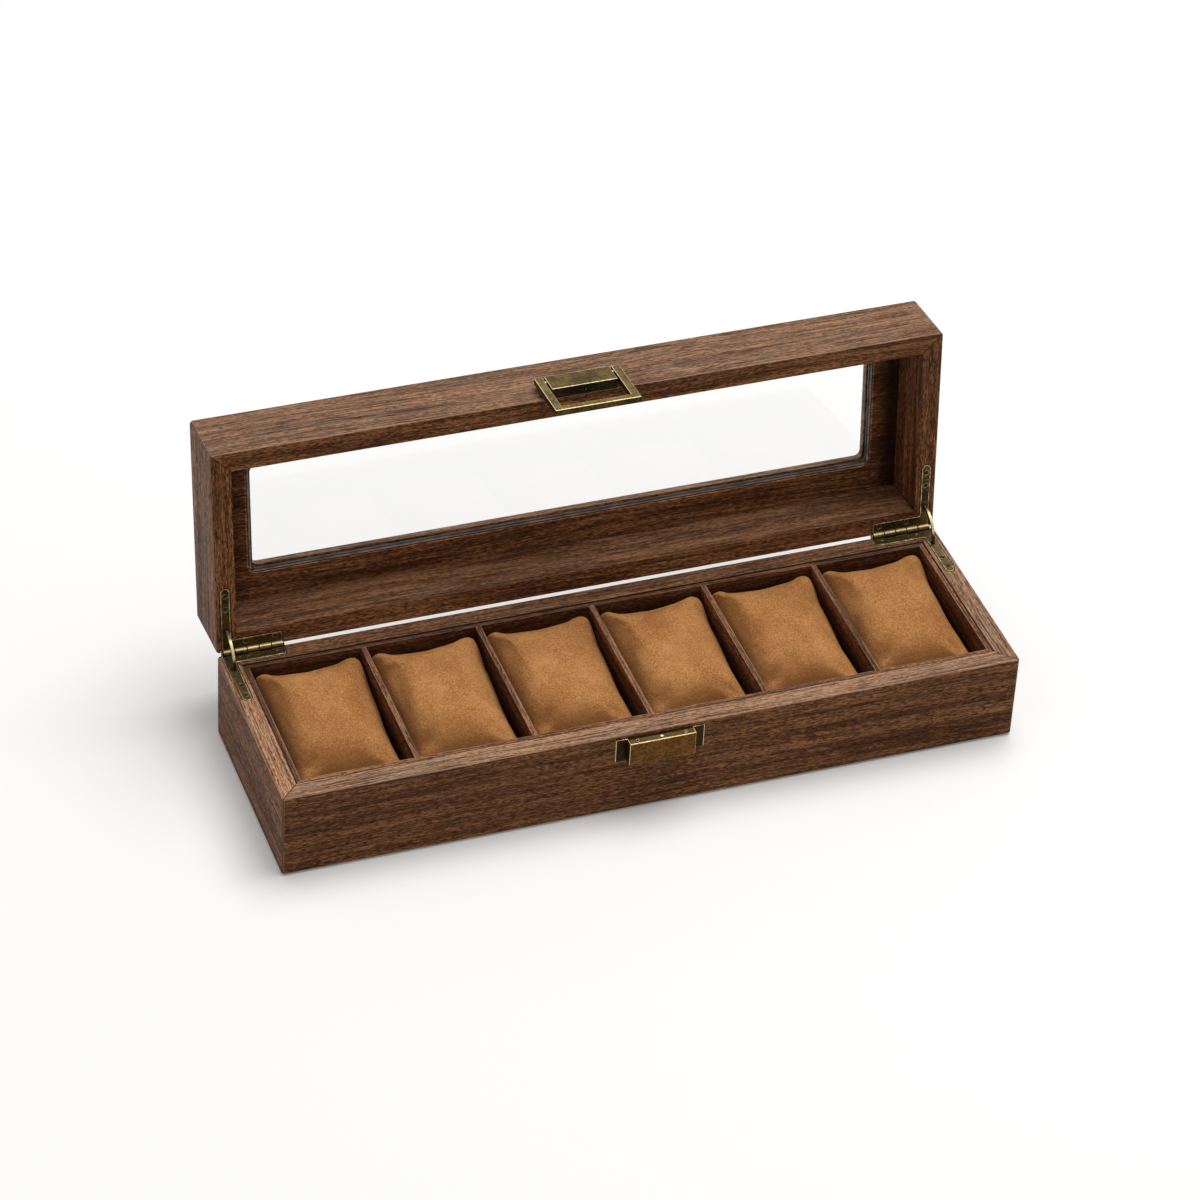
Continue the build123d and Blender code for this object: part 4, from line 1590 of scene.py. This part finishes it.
    def lift(self, x: np.ndarray, y: np.ndarray, spread: np.ndarray) -> np.ndarray:
        """Works out how far the top is raised or sunk at each place.

        Formula: the sum of seven bells, two ears at the rear, the dip between them, and
        a crease and a point at each front corner, with a faint ripple.

        Args:
            x: The places across the cushion, in metres.
            y: The places along its depth, in metres.
            spread: Twelve numbers of -1 to 1 that make it differ from its neighbours.

        Returns:
            The rise in metres.
        """
        right_pinch = 0.9 * self.pinch
        bells = (
            (self.ear_left * (1 + 0.3 * spread[3]), -21.5, 34.5, 4.5, 5.0),
            (self.ear_right * (1 + 0.2 * spread[4]), 20.0, 33.5, 6.0, 7.0),
            (-self.dip * (1 + 0.3 * spread[5]), -3.0, 35.0, 12.0, 8.0),
            (-self.pinch * (1 + 0.3 * spread[6]), -17.0, -24.5 + spread[7], 2.5, 6.5, -0.75),
            (self.point_left, -20.0, -31.0, 4.5, 5.5),
            (-right_pinch * (1 + 0.4 * spread[8]), 16.5, -27.0 + spread[9], 2.4, 6.0, 0.8),
            (self.point_right, 20.5, -31.5, 4.0, 5.0),
        )
        raised = sum(height * hill(x / MM, y / MM, *form) for height, *form in bells)
        ripple_x = np.sin(x / (6.0 * MM) + 3 * spread[10])
        ripple_y = np.sin(y / (8.5 * MM) + 3 * spread[11])
        return raised + self.ripple * ripple_x * ripple_y

    def sew(self, material: bpy.types.Material) -> None:
        """Makes the closed pillow as an even mesh in its place in the tray.

        Args:
            material: The suede.
        """
        along = np.sin(np.linspace(-math.pi / 2, math.pi / 2, self.rings))
        points = self.outline(along, round_turns(self.spokes)).reshape(-1, 3)
        points[:, 0] += self.centre
        points[:, 2] = np.maximum(points[:, 2], self.floor)
        faces = turned_over(tube_faces(self.rings, self.spokes, False))
        self.piece = make_piece(f"suede_cushion_{self.number}", points, faces, material)
        remesh = self.piece.modifiers.new("even", "REMESH")
        remesh.mode = "VOXEL"
        remesh.voxel_size = self.voxel
        self.settle()

    def settle(self) -> None:
        """Applies what is on the piece to its mesh."""
        graph = bpy.context.evaluated_depsgraph_get()
        settled = bpy.data.meshes.new_from_object(self.piece.evaluated_get(graph), depsgraph=graph)
        self.piece.modifiers.clear()
        old, self.piece.data = self.piece.data, settled
        bpy.data.meshes.remove(old)

    def places(self) -> np.ndarray:
        """Gives the points of the mesh as an array of (count, 3)."""
        mesh = self.piece.data
        points = np.empty(3 * len(mesh.vertices), dtype=np.float32)
        mesh.vertices.foreach_get("co", points)
        return points.reshape(-1, 3).astype(float)

    def stuff(self) -> None:
        """Puts the cloth on the pillow that will swell with the wadding's pressure."""
        cloth = self.piece.modifiers.new("wadding", "CLOTH")
        cloth.settings.quality = 5
        cloth.settings.mass = 0.15
        cloth.settings.tension_stiffness = 18.0
        cloth.settings.compression_stiffness = 12.0
        cloth.settings.shear_stiffness = 6.0
        cloth.settings.bending_stiffness = 0.4
        cloth.settings.use_pressure = True
        cloth.settings.uniform_pressure_force = 4.0
        cloth.settings.effector_weights.gravity = 0.0
        cloth.collision_settings.use_collision = False
        cloth.collision_settings.use_self_collision = False

    def take_off(self, before: np.ndarray) -> None:
        """Ends the swelling: caps how far it went and keeps it in its compartment.

        Args:
            before: The points before it swelled.
        """
        if self.piece.modifiers:
            self.settle()
        move = self.places() - before
        far = np.linalg.norm(move, axis=1, keepdims=True)
        points = before + move * np.minimum(1.0, self.most_swell / np.maximum(far, 1e-9))
        low = np.array((self.centre - self.room[0], -self.room[1], self.floor - 0.1 * MM))
        high = np.array((self.centre + self.room[0], self.room[1], self.top))
        mesh = self.piece.data
        mesh.vertices.foreach_set("co", np.clip(points, low, high).astype(np.float32).ravel())
        mesh.update()
        mesh.shade_smooth()
        round_off = self.piece.modifiers.new("round", "SUBSURF")
        round_off.levels = round_off.render_levels = 1
        body = f"cushion_{self.number}"
        hand_over(self.piece, body, body)
        log.info("%s: swelled %.2f mm at most", self.piece.name, float(far.max()) / MM)


@dataclass
class CushionSet:
    """The six cushions, which swell together."""

    frames: int = 20

    def make(self) -> None:
        """Sews the six cushions, lets them swell and sets them in the tray."""
        cushions = [Cushion(index + 1, float(x)) for index, x in enumerate(PLAN.cell_centres())]
        for cushion in cushions:
            suede = Suede(cushion.number, cushion.seam_front, cushion.seam_rear)
            cushion.sew(suede.material(f"camel suede {cushion.number}"))
        before = [cushion.places() for cushion in cushions]
        for cushion in cushions:
            cushion.stuff()
        for step in range(1, self.frames + 1):
            bpy.context.scene.frame_set(step)
        for cushion, points in zip(cushions, before):
            cushion.take_off(points)
        bpy.context.scene.frame_set(1)


@dataclass
class Lid:
    """The glazed lid: four walls, the panel with its window, the glass and its bead."""

    glass: FloatGlass = FloatGlass()
    bead: GlazingBead = GlazingBead()
    window_round: float = 4.0 * MM
    inner_face: float = 66.4 * MM
    line_spots: int = 64
    line_rise: float = 0.07 * MM
    # painted sheen on the faces of the lid's walls that look up
    top_sheens: tuple[float, ...] = (0.18, 0.08, 0.24, 0.24)

    def line_window(self) -> None:
        """Lays a dark line of painted shade and a light line of painted highlight on the wood's
        edge round the bead.

        Formula: a circle of the corner's radius whose quarters are pushed apart to the
        corners of the window, each by the sign of the cosine and sine of its turn.
        """
        turn = round_turns(self.line_spots) + FULL_TURN / self.line_spots / 2
        plan = np.column_stack((np.cos(turn), np.sin(turn)))
        reach = np.array((PLAN.window_length, PLAN.window_depth)) / 2 - self.window_round
        # painted highlight: a line of very light walnut along the wood's edge
        edge = Walnut(Grain.LENGTH, Held.LID, board=41, lightness=2.6)
        # painted shade: a dark line round the bead
        shade = Cloth(*PAINTED_SHADE_CLOTH, Held.LID)
        for name, outset, width, material in (
            ("window_edge_highlight", 0.50 * MM, 0.60 * MM, edge.material("walnut, window edge highlight")),
            ("window_shade_line", 0.06 * MM, 0.30 * MM, shade.material("painted shade round the bead")),
        ):
            path = np.sign(plan) * reach + plan * (self.window_round + outset)
            points, faces = bead_along(path, self.inner_face, width, self.line_rise, True)
            line = make_piece(name, PLAN.swung(points), faces, material)
            hand_over(line, "lid")

    def dress(self) -> None:
        """Gives the boards their walnut, and the window its glass and bead."""
        for board, (side, grain) in enumerate(BOARDS):
            top_sheen = self.top_sheens[board]
            walnut = Walnut(grain, Held.LID, board=board + 31, mitred=True, top_sheen=top_sheen)
            paint(f"lid_{side}_wall", walnut.material(f"walnut, lid {side}"))
        # painted shade at the rims of the panel's inner face
        panel = Walnut(Grain.LENGTH, Held.LID, board=41, lightness=1.18, corner_shaded=True)
        paint("lid_top_panel", panel.material("walnut, lid panel"))
        paint("lid_glass", self.glass.material("float glass"))
        paint("glass_bead", self.bead.material("grey bead"))
        self.line_window()


@dataclass
class CornerHinges:
    """Two corner hinges with curved stays, their screws and the edges of the leaves.

    Attributes:
        leaf_inset: How far the leaf lies inside the end of the box.
        leg_width: Width of the leaf's arm along the side wall.
        leg_length: Reach of that arm from the back of the box.
        rear_depth: Depth of the leaf along the back wall.
        barrel: Length of the leaf along the back wall, that of its five knuckles.
        screws_before_rear: How far the arm's two screws lie before the back of the box.
        screws_from_end: How far the other two lie from the end of the box.
        screw_from_rear: How far those two lie before the back of the box.
        head: Radius of a screw's head.
        shank: Radius of its shank.
        screw_length: Its length.
        screw_rim: Width of the bright ring of wear and painted highlight round the head.
        screw_rim_rise: How far that ring stands proud.
        edge_line: Inset of the middle and width of the line of wear and painted highlight
            inside the edge.
        recess_shade_line: The same of the line of painted shade in the recess outside it.
        edge_rise: How far those lines stand proud.
        inner_radii: Radii of the leaf's two inner corners.
        arc_step: Angle between points on a corner, in radians.
        pin_hole: Place of the leaf's pin, from the end and from the back of the box.
        pin_rim: Radius of the ring round it.
        pin_rim_width: Width of that ring.
    """

    leaf_inset: float = PLAN.leaf_inset
    leg_width: float = 4.2 * MM
    leg_length: float = 32.0 * MM
    rear_depth: float = 6.0 * MM
    barrel: float = 5 * PLAN.knuckle
    screws_before_rear: Pair = (21.5 * MM, 28.0 * MM)
    screws_from_end: Pair = (13.0 * MM, 26.0 * MM)
    screw_from_rear: float = 4.2 * MM
    head: float = 1.3 * MM
    shank: float = 0.65 * MM
    screw_length: float = 7.0 * MM
    screw_rim: float = 0.25 * MM
    screw_rim_rise: float = 0.10 * MM
    edge_line: Pair = (0.27 * MM, 0.48 * MM)
    recess_shade_line: Pair = (-0.18 * MM, 0.42 * MM)
    edge_rise: float = 0.07 * MM
    inner_radii: Pair = (0.7 * MM, 0.8 * MM)
    arc_step: float = 0.18
    pin_hole: Pair = (9.3 * MM, 3.0 * MM)
    pin_rim: float = 0.42 * MM
    pin_rim_width: float = 0.3 * MM
    brass: AgedBrass = AgedBrass(
        dark=(0.026, 0.017, 0.005),
        bright=(0.105, 0.070, 0.022),
        top_sheen=(0.175, 0.118, 0.048),
        rubbed_highlight=(0.42, 0.30, 0.13),
        top_sheen_share=0.7,
        knuckles=True,
    )
    stay_brass: AgedBrass = AgedBrass(
        dark=(0.020, 0.014, 0.005),
        bright=(0.075, 0.055, 0.021),
        top_sheen=(0.40, 0.31, 0.17),
        rubbed_highlight=(0.60, 0.48, 0.26),
    )
    screw_brass: AgedBrass = AgedBrass(
        dark=(0.006, 0.004, 0.002),
        bright=(0.022, 0.015, 0.007),
        top_sheen=(0.018, 0.013, 0.007),
        rubbed_highlight=(0.07, 0.05, 0.022),
    )
    rim_metal: BrightMetal = BrightMetal((0.36, 0.275, 0.135), (0.09, 0.065, 0.026), 0.34)
    edge_metal: BrightMetal = BrightMetal((0.68, 0.52, 0.26), (0.22, 0.16, 0.065), 0.34)

    def screw_places(self) -> np.ndarray:
        """Gives the heads of the base leaves' eight screws, left hinge first."""
        on_leg = -PLAN.half_length + self.leaf_inset + self.leg_width / 2
        on_rear = PLAN.half_depth - self.screw_from_rear
        leg = [
            (on_leg, PLAN.half_depth - before, PLAN.base_height)
            for before in self.screws_before_rear
        ]
        rear = [
            (-PLAN.half_length + inward, on_rear, PLAN.base_height)
            for inward in self.screws_from_end
        ]
        left = np.array(leg + rear)
        return np.concatenate((left, left * (-1.0, 1.0, 1.0)))

    def leaf_edge(self, inset: float) -> np.ndarray:
        """Follows the left leaf's edge in plan.

        Args:
            inset: How far inside the edge the line lies.

        Returns:
            Array of (count, 2) points.
        """
        end = -PLAN.half_length + self.leaf_inset
        left, inner, right = end + inset, end + self.leg_width - inset, end + self.barrel - inset
        rear = PLAN.half_depth - inset
        tip = PLAN.half_depth - self.leg_length + inset
        front = PLAN.half_depth - self.rear_depth + inset
        corners = (
            (left, rear), (left, tip), (inner, tip), (inner, front), (right, front), (right, rear),
        )
        nearly_half = 0.49 * (inner - left)
        radii = (nearly_half, nearly_half, *self.inner_radii)
        return rounded_path(corners, radii, self.arc_step)

    def make(self) -> None:
        """Dresses the leaves, pins and stays and makes the screws and the leaf edges."""
        for side in ("left", "right"):
            for part in ("base leaf", "lid leaf", "pin"):
                node = f"hinge_{part.replace(' ', '_')}_{side}"
                paint(node, self.brass.material(f"aged brass, {part} {side}"))
            paint(f"hinge_stay_{side}", self.stay_brass.material(f"bright brass, stay {side}"))
        self.drive_screws()
        self.rim_screws()
        self.trim_edges()

    def drive_screws(self) -> None:
        """Makes the screws of the base leaves, which face up, and of the lid leaves."""
        brass = self.screw_brass.material("screw brass")
        pattern = ScrewPattern(self.head, self.shank, self.screw_length)
        places = self.screw_places()
        turns = np.random.default_rng(7).uniform(0.0, math.pi / 2, 2 * len(places))
        points, faces = pattern.driven(places, (0.0, 0.0, 1.0), turns[: len(places)])
        screws = make_piece("base_screws_with_cross", points, faces, brass)
        hand_over(screws, "base", "base_leaf_screws")
        under = places * (1.0, 1.0, 0.0) + (0.0, 0.0, PLAN.lid_rim)
        points, faces = pattern.driven(under, (0.0, 0.0, -1.0), turns[len(places) :])
        screws = make_piece("lid_screws_with_cross", PLAN.swung(points), faces, brass)
        hand_over(screws, "lid", "lid_leaf_screws")

    def rim_screws(self) -> None:
        """Lays a ring of wear and painted highlight on each leaf screw, where its countersink
        shows bright.
        """
        metal = self.rim_metal.material("rubbed screw rim")
        centres, radius = self.screw_places()[:, :2], self.head - 0.10 * MM
        points, faces = rings_round(
            centres, radius, PLAN.base_height, self.screw_rim, self.screw_rim_rise
        )
        hand_over(make_piece("base_screw_rims", points, faces, metal), "base")
        upturned, back = PLAN.on_lid_rim(points), turned_over(faces)
        hand_over(make_piece("lid_screw_rims", upturned, back, metal), "lid")

    def line_leaves(
        self, name: str, mirror: float, line: Pair, finish: bpy.types.Material
    ) -> None:
        """Lays a line along the edges of one hinge's base leaf and lid leaf.

        Args:
            name: Kind of the line and side of the hinge, for the names of the pieces.
            mirror: What x is multiplied by to reach the hinge from the left one.
            line: Inset of the line's middle, and its width.
            finish: The finish.
        """
        inset, width = line
        path = self.leaf_edge(inset)
        points, faces = bead_along(path, PLAN.base_height, width, self.edge_rise, False)
        points = points * (mirror, 1.0, 1.0)
        up, down = faces, turned_over(faces)
        if mirror < 0:
            up, down = down, up
        hand_over(make_piece(f"base_leaf_{name}", points, up, finish), "base")
        upturned = PLAN.on_lid_rim(points)
        hand_over(make_piece(f"lid_leaf_{name}", upturned, down, finish), "lid")

    def trim_edges(self) -> None:
        """Lines the leaves' edges with wear and painted highlight inside and painted shade
        outside, and rims the pins with the same bright line.
        """
        bright = self.edge_metal.material("rubbed leaf edge")
        # painted shade in the recess outside the leaves
        dark = Cloth(*PAINTED_SHADE_CLOTH).material("painted shade of the recess")
        inward, before = self.pin_hole
        for side, mirror in (("left", 1.0), ("right", -1.0)):
            self.line_leaves(f"edge_{side}", mirror, self.edge_line, bright)
            self.line_leaves(f"recess_{side}", mirror, self.recess_shade_line, dark)
            centre = np.array(((mirror * (inward - PLAN.half_length), PLAN.half_depth - before),))
            points, faces = rings_round(
                centre, self.pin_rim, PLAN.base_height, self.pin_rim_width, self.edge_rise
            )
            rim = make_piece(f"leaf_pin_rim_{side}", points, faces, bright)
            hand_over(rim, "base")


@dataclass
class Clasp:
    """The catch with its hollow nose on the base, and the block and frame on the lid.

    Attributes:
        nose_top: Height of the nose's top.
        half_nose: Half the length of the nose.
        half_catch: Half the length of the catch with its wings.
        stand: How far the nose stands out from the box.
        sheet: Thickness of the catch's sheet.
        hole_x: How far the two small holes lie from the middle.
        hole_y: Their y.
        hole: Radius of a hole.
        edge_width: Width of the line of wear and painted highlight along the nose's top edge.
        hole_rim: Width of the ring of wear and painted highlight round a hole.
        rise: How far both stand proud.
        bend: Radius of the line's corners.
        arc_step: Angle between points on a corner, in radians.
    """

    nose_top: float = 39.5 * MM
    half_nose: float = 14.8 * MM
    half_catch: float = 19.8 * MM
    stand: float = 4.6 * MM
    sheet: float = 0.9 * MM
    hole_x: float = 10.7 * MM
    hole_y: float = -51.4 * MM
    hole: float = 0.6 * MM
    edge_width: float = 0.42 * MM
    hole_rim: float = 0.26 * MM
    rise: float = 0.08 * MM
    bend: float = 0.3 * MM
    arc_step: float = 0.3
    catch_head: Triple = (17.3 * MM, -49.9 * MM, 33.9 * MM)
    hasp_head: Triple = (9.0 * MM, -39.8 * MM, 46.4 * MM)
    catch_screw: ScrewPattern = ScrewPattern(1.0 * MM, 0.5 * MM, 5.5 * MM)
    hasp_screw: ScrewPattern = ScrewPattern(1.9 * MM, 0.9 * MM, 12.2 * MM, dome=0.05 * MM)
    golden: AgedBrass = AgedBrass(wings=True)
    olive: AgedBrass = AgedBrass(
        dark=(0.007, 0.0045, 0.0015),
        bright=(0.024, 0.015, 0.005),
        top_sheen=(0.168, 0.112, 0.022),
        rubbed_highlight=(0.95, 0.78, 0.44),
    )
    pale: AgedBrass = AgedBrass(
        dark=(0.032, 0.019, 0.005),
        bright=(0.095, 0.058, 0.017),
        top_sheen=(0.272, 0.188, 0.050),
        rubbed_highlight=(0.95, 0.78, 0.44),
    )
    screw_brass: AgedBrass = AgedBrass(
        dark=(0.006, 0.004, 0.002),
        bright=(0.016, 0.010, 0.004),
        top_sheen_share=0.2,
        rubbed_highlight=(0.05, 0.035, 0.015),
    )
    stud_steel: BrightMetal = BrightMetal((0.86, 0.85, 0.82), (0.55, 0.54, 0.50), 0.16)
    edge_metal: BrightMetal = BrightMetal((0.86, 0.68, 0.33), (0.52, 0.37, 0.14), 0.3)
    rim_metal: BrightMetal = BrightMetal((0.62, 0.55, 0.36), (0.30, 0.24, 0.12), 0.28)

    def lay_edge_highlight(self) -> None:
        """Lays the bright line of wear and painted highlight where hands rub the top edge of the
        nose and its wings.
        """
        inset = 0.2 * MM
        back = -PLAN.half_depth - self.sheet / 2
        brow = -PLAN.half_depth - self.stand + 0.3 * MM
        side, tip = self.half_nose - inset, self.half_catch - inset
        left = ((-tip, back), (-side, back), (-side, brow))
        right = ((side, brow), (side, back), (tip, back))
        path = rounded_path(left + right, (self.bend,) * 4, self.arc_step)
        points, faces = bead_along(path, self.nose_top, self.edge_width, self.rise, False)
        metal = self.edge_metal.material("rubbed nose edge")
        hand_over(make_piece("nose_edge_line", points, faces, metal), "base")

    def rim_holes(self) -> None:
        """Lays a ring of wear and painted highlight round each of the two small holes in the nose.
        """
        metal = self.rim_metal.material("rubbed hole rim")
        radius = self.hole + 0.12 * MM
        for side, x in (("left", -self.hole_x), ("right", self.hole_x)):
            centre = np.array(((x, self.hole_y),))
            points, faces = rings_round(centre, radius, self.nose_top, self.hole_rim, self.rise)
            rim = make_piece(f"nose_hole_rim_{side}", points, faces, metal)
            hand_over(rim, "base")

    def drive_screws(self) -> None:
        """Makes the screws of the catch, from the front, and of the hasp, from inside."""
        brass = self.screw_brass.material("dark screw brass")
        both = np.array(((1.0, 1.0, 1.0), (-1.0, 1.0, 1.0)))
        heads = both * self.catch_head
        points, faces = self.catch_screw.driven(heads, (0.0, -1.0, 0.0), (0.35, 1.1))
        screws = make_piece("catch_screws_with_cross", points, faces, brass)
        hand_over(screws, "base", "catch_screws")
        heads = both * self.hasp_head
        points, faces = self.hasp_screw.driven(heads, (0.0, 1.0, 0.0), (0.2, 0.9))
        screws = make_piece("hasp_screws_with_cross", PLAN.swung(points), faces, brass)
        hand_over(screws, "lid", "hasp_screws")

    def make(self) -> None:
        """Dresses the brass, and makes the screws, edge line and rims of the holes."""
        for node, brass in (
            ("catch_plate", self.golden),
            ("hasp_block", self.olive),
            ("hasp_pin", self.pale),
            ("hasp_frame", self.pale),
        ):
            paint(node, brass.material(f"aged brass, {node.replace('_', ' ')}"))
        paint("catch_stud", self.stud_steel.material("polished steel stud"))
        self.lay_edge_highlight()
        self.drive_screws()
        self.rim_holes()


@dataclass
class Studio:
    """The pale floor, the soft light from the rear right and the camera."""

    focal_pixels: float = 4821.7
    picture: float = 1200.0
    azimuth: float = -21.48
    elevation: float = 38.05
    roll: float = 3.34
    distance: float = 2.036
    target: Triple = (-0.0112, 0.0, 0.0755)
    sensor: float = 36.0
    floor_size: float = 8.0
    floor_spots: int = 9
    floor_drop: float = 0.15 * MM
    sky: float = 0.36
    lamp_share: float = 0.69
    lamp_way: Triple = (0.22, 0.12, 0.95)
    lamp_distance: float = 2.8
    lamp_size: float = 1.9

    def set_camera(self) -> None:
        """Puts the camera where the photograph was taken from."""
        turn, rise, roll = (math.radians(a) for a in (self.azimuth, self.elevation, self.roll))
        back = Vector(
            (math.sin(turn) * math.cos(rise), -math.cos(turn) * math.cos(rise), math.sin(rise))
        )
        level = Vector((math.cos(turn), math.sin(turn), 0.0))
        above = back.cross(level)
        right = level * math.cos(roll) + above * math.sin(roll)
        above = above * math.cos(roll) - level * math.sin(roll)
        data = bpy.data.cameras.new("camera")
        data.sensor_width = self.sensor
        data.lens = self.sensor * self.focal_pixels / self.picture
        camera = bpy.data.objects.new("camera", data)
        stand = Vector(self.target) + back * self.distance
        camera.matrix_world = Matrix(
            (
                (right.x, above.x, back.x, stand.x),
                (right.y, above.y, back.y, stand.y),
                (right.z, above.z, back.z, stand.z),
                (0.0, 0.0, 0.0, 1.0),
            )
        )
        bpy.context.scene.collection.objects.link(camera)
        bpy.context.scene.camera = camera

    def show(self, tree: bpy.types.NodeTree, lit: Socket, seen: Socket, output: str) -> None:
        """Shows one shader to the camera, gloss and glass, and lights the part by another.

        Args:
            tree: The node tree to end.
            lit: The shader that lights the part.
            seen: The shader that is seen.
            output: Blender's name of the output node.
        """
        rays = tree.nodes.new("ShaderNodeLightPath")
        share = rays.outputs["Is Camera Ray"]
        for kind in ("Is Glossy Ray", "Is Transmission Ray"):
            either = tree.nodes.new("ShaderNodeMath")
            either.operation = "MAXIMUM"
            tree.links.new(share, either.inputs[0])
            tree.links.new(rays.outputs[kind], either.inputs[1])
            share = either.outputs[0]
        choice = tree.nodes.new("ShaderNodeMixShader")
        for socket, given in zip(choice.inputs, (share, lit, seen)):
            tree.links.new(given, socket)
        end = tree.nodes.new(output)
        tree.links.new(choice.outputs[0], end.inputs["Surface"])

    def lay_floor(self) -> None:
        """Lays the floor, which looks white where it is open and keeps the shadow."""
        material = bpy.data.materials.new("pale floor")
        material.use_nodes = True
        tree = material.node_tree
        tree.nodes.clear()
        plain = tree.nodes.new("ShaderNodeBsdfDiffuse")
        plain.inputs["Color"].default_value = (0.42, 0.41, 0.40, 1.0)
        shown = tree.nodes.new("ShaderNodeBsdfDiffuse")
        shown.inputs["Color"].default_value = (0.97, 0.97, 0.97, 1.0)
        glow = tree.nodes.new("ShaderNodeEmission")
        glow.inputs["Strength"].default_value = 0.10
        both = tree.nodes.new("ShaderNodeAddShader")
        tree.links.new(shown.outputs[0], both.inputs[0])
        tree.links.new(glow.outputs[0], both.inputs[1])
        self.show(tree, plain.outputs[0], both.outputs[0], "ShaderNodeOutputMaterial")
        count = self.floor_spots
        steps = np.linspace(-self.floor_size / 2, self.floor_size / 2, count)
        x, y = np.meshgrid(steps, steps, indexing="ij")
        points = np.column_stack((x.ravel(), y.ravel(), np.full(x.size, -self.floor_drop)))
        row, column = np.meshgrid(np.arange(count - 1), np.arange(count - 1), indexing="ij")
        first = (row * count + column).ravel()
        faces = np.column_stack((first, first + count, first + count + 1, first + 1))
        make_piece("studio_floor", points, faces.tolist(), material)

    def hang_light(self) -> None:
        """Sets the even light all round and the soft lamp above."""
        scene = bpy.context.scene
        scene.world = bpy.data.worlds.new("studio light")
        scene.world.use_nodes = True
        tree = scene.world.node_tree
        tree.nodes.clear()
        even = tree.nodes.new("ShaderNodeBackground")
        even.inputs["Color"].default_value = (1.0, 0.985, 0.965, 1.0)
        even.inputs["Strength"].default_value = self.sky
        white = tree.nodes.new("ShaderNodeBackground")
        white.inputs["Color"].default_value = (1.0, 1.0, 1.0, 1.0)
        white.inputs["Strength"].default_value = 1.0
        self.show(tree, even.outputs[0], white.outputs[0], "ShaderNodeOutputWorld")
        way = Vector(self.lamp_way).normalized()
        data = bpy.data.lights.new("soft lamp", "AREA")
        data.shape = "SQUARE"
        data.size = self.lamp_size
        data.energy = self.lamp_share * math.pi**2 * self.lamp_distance**2 / way.z
        lamp = bpy.data.objects.new("soft lamp", data)
        lamp.location = way * self.lamp_distance
        lamp.rotation_euler = way.to_track_quat("Z", "Y").to_euler()
        scene.collection.objects.link(lamp)

    def make(self) -> None:
        """Sets up the camera, floor and light, and the plain view of colours."""
        self.set_camera()
        self.lay_floor()
        self.hang_light()
        bpy.context.scene.view_settings.view_transform = "Standard"
        log.info("studio: camera, floor and light")


def main() -> None:
    """Builds the studio and every part of the box, in order."""
    logging.basicConfig(level=logging.INFO, format="%(name)s %(message)s")
    Studio().make()
    Case().dress()
    Tray().dress()
    CushionSet().make()
    Lid().dress()
    CornerHinges().make()
    Clasp().make()


if __name__ == "__main__":
    main()
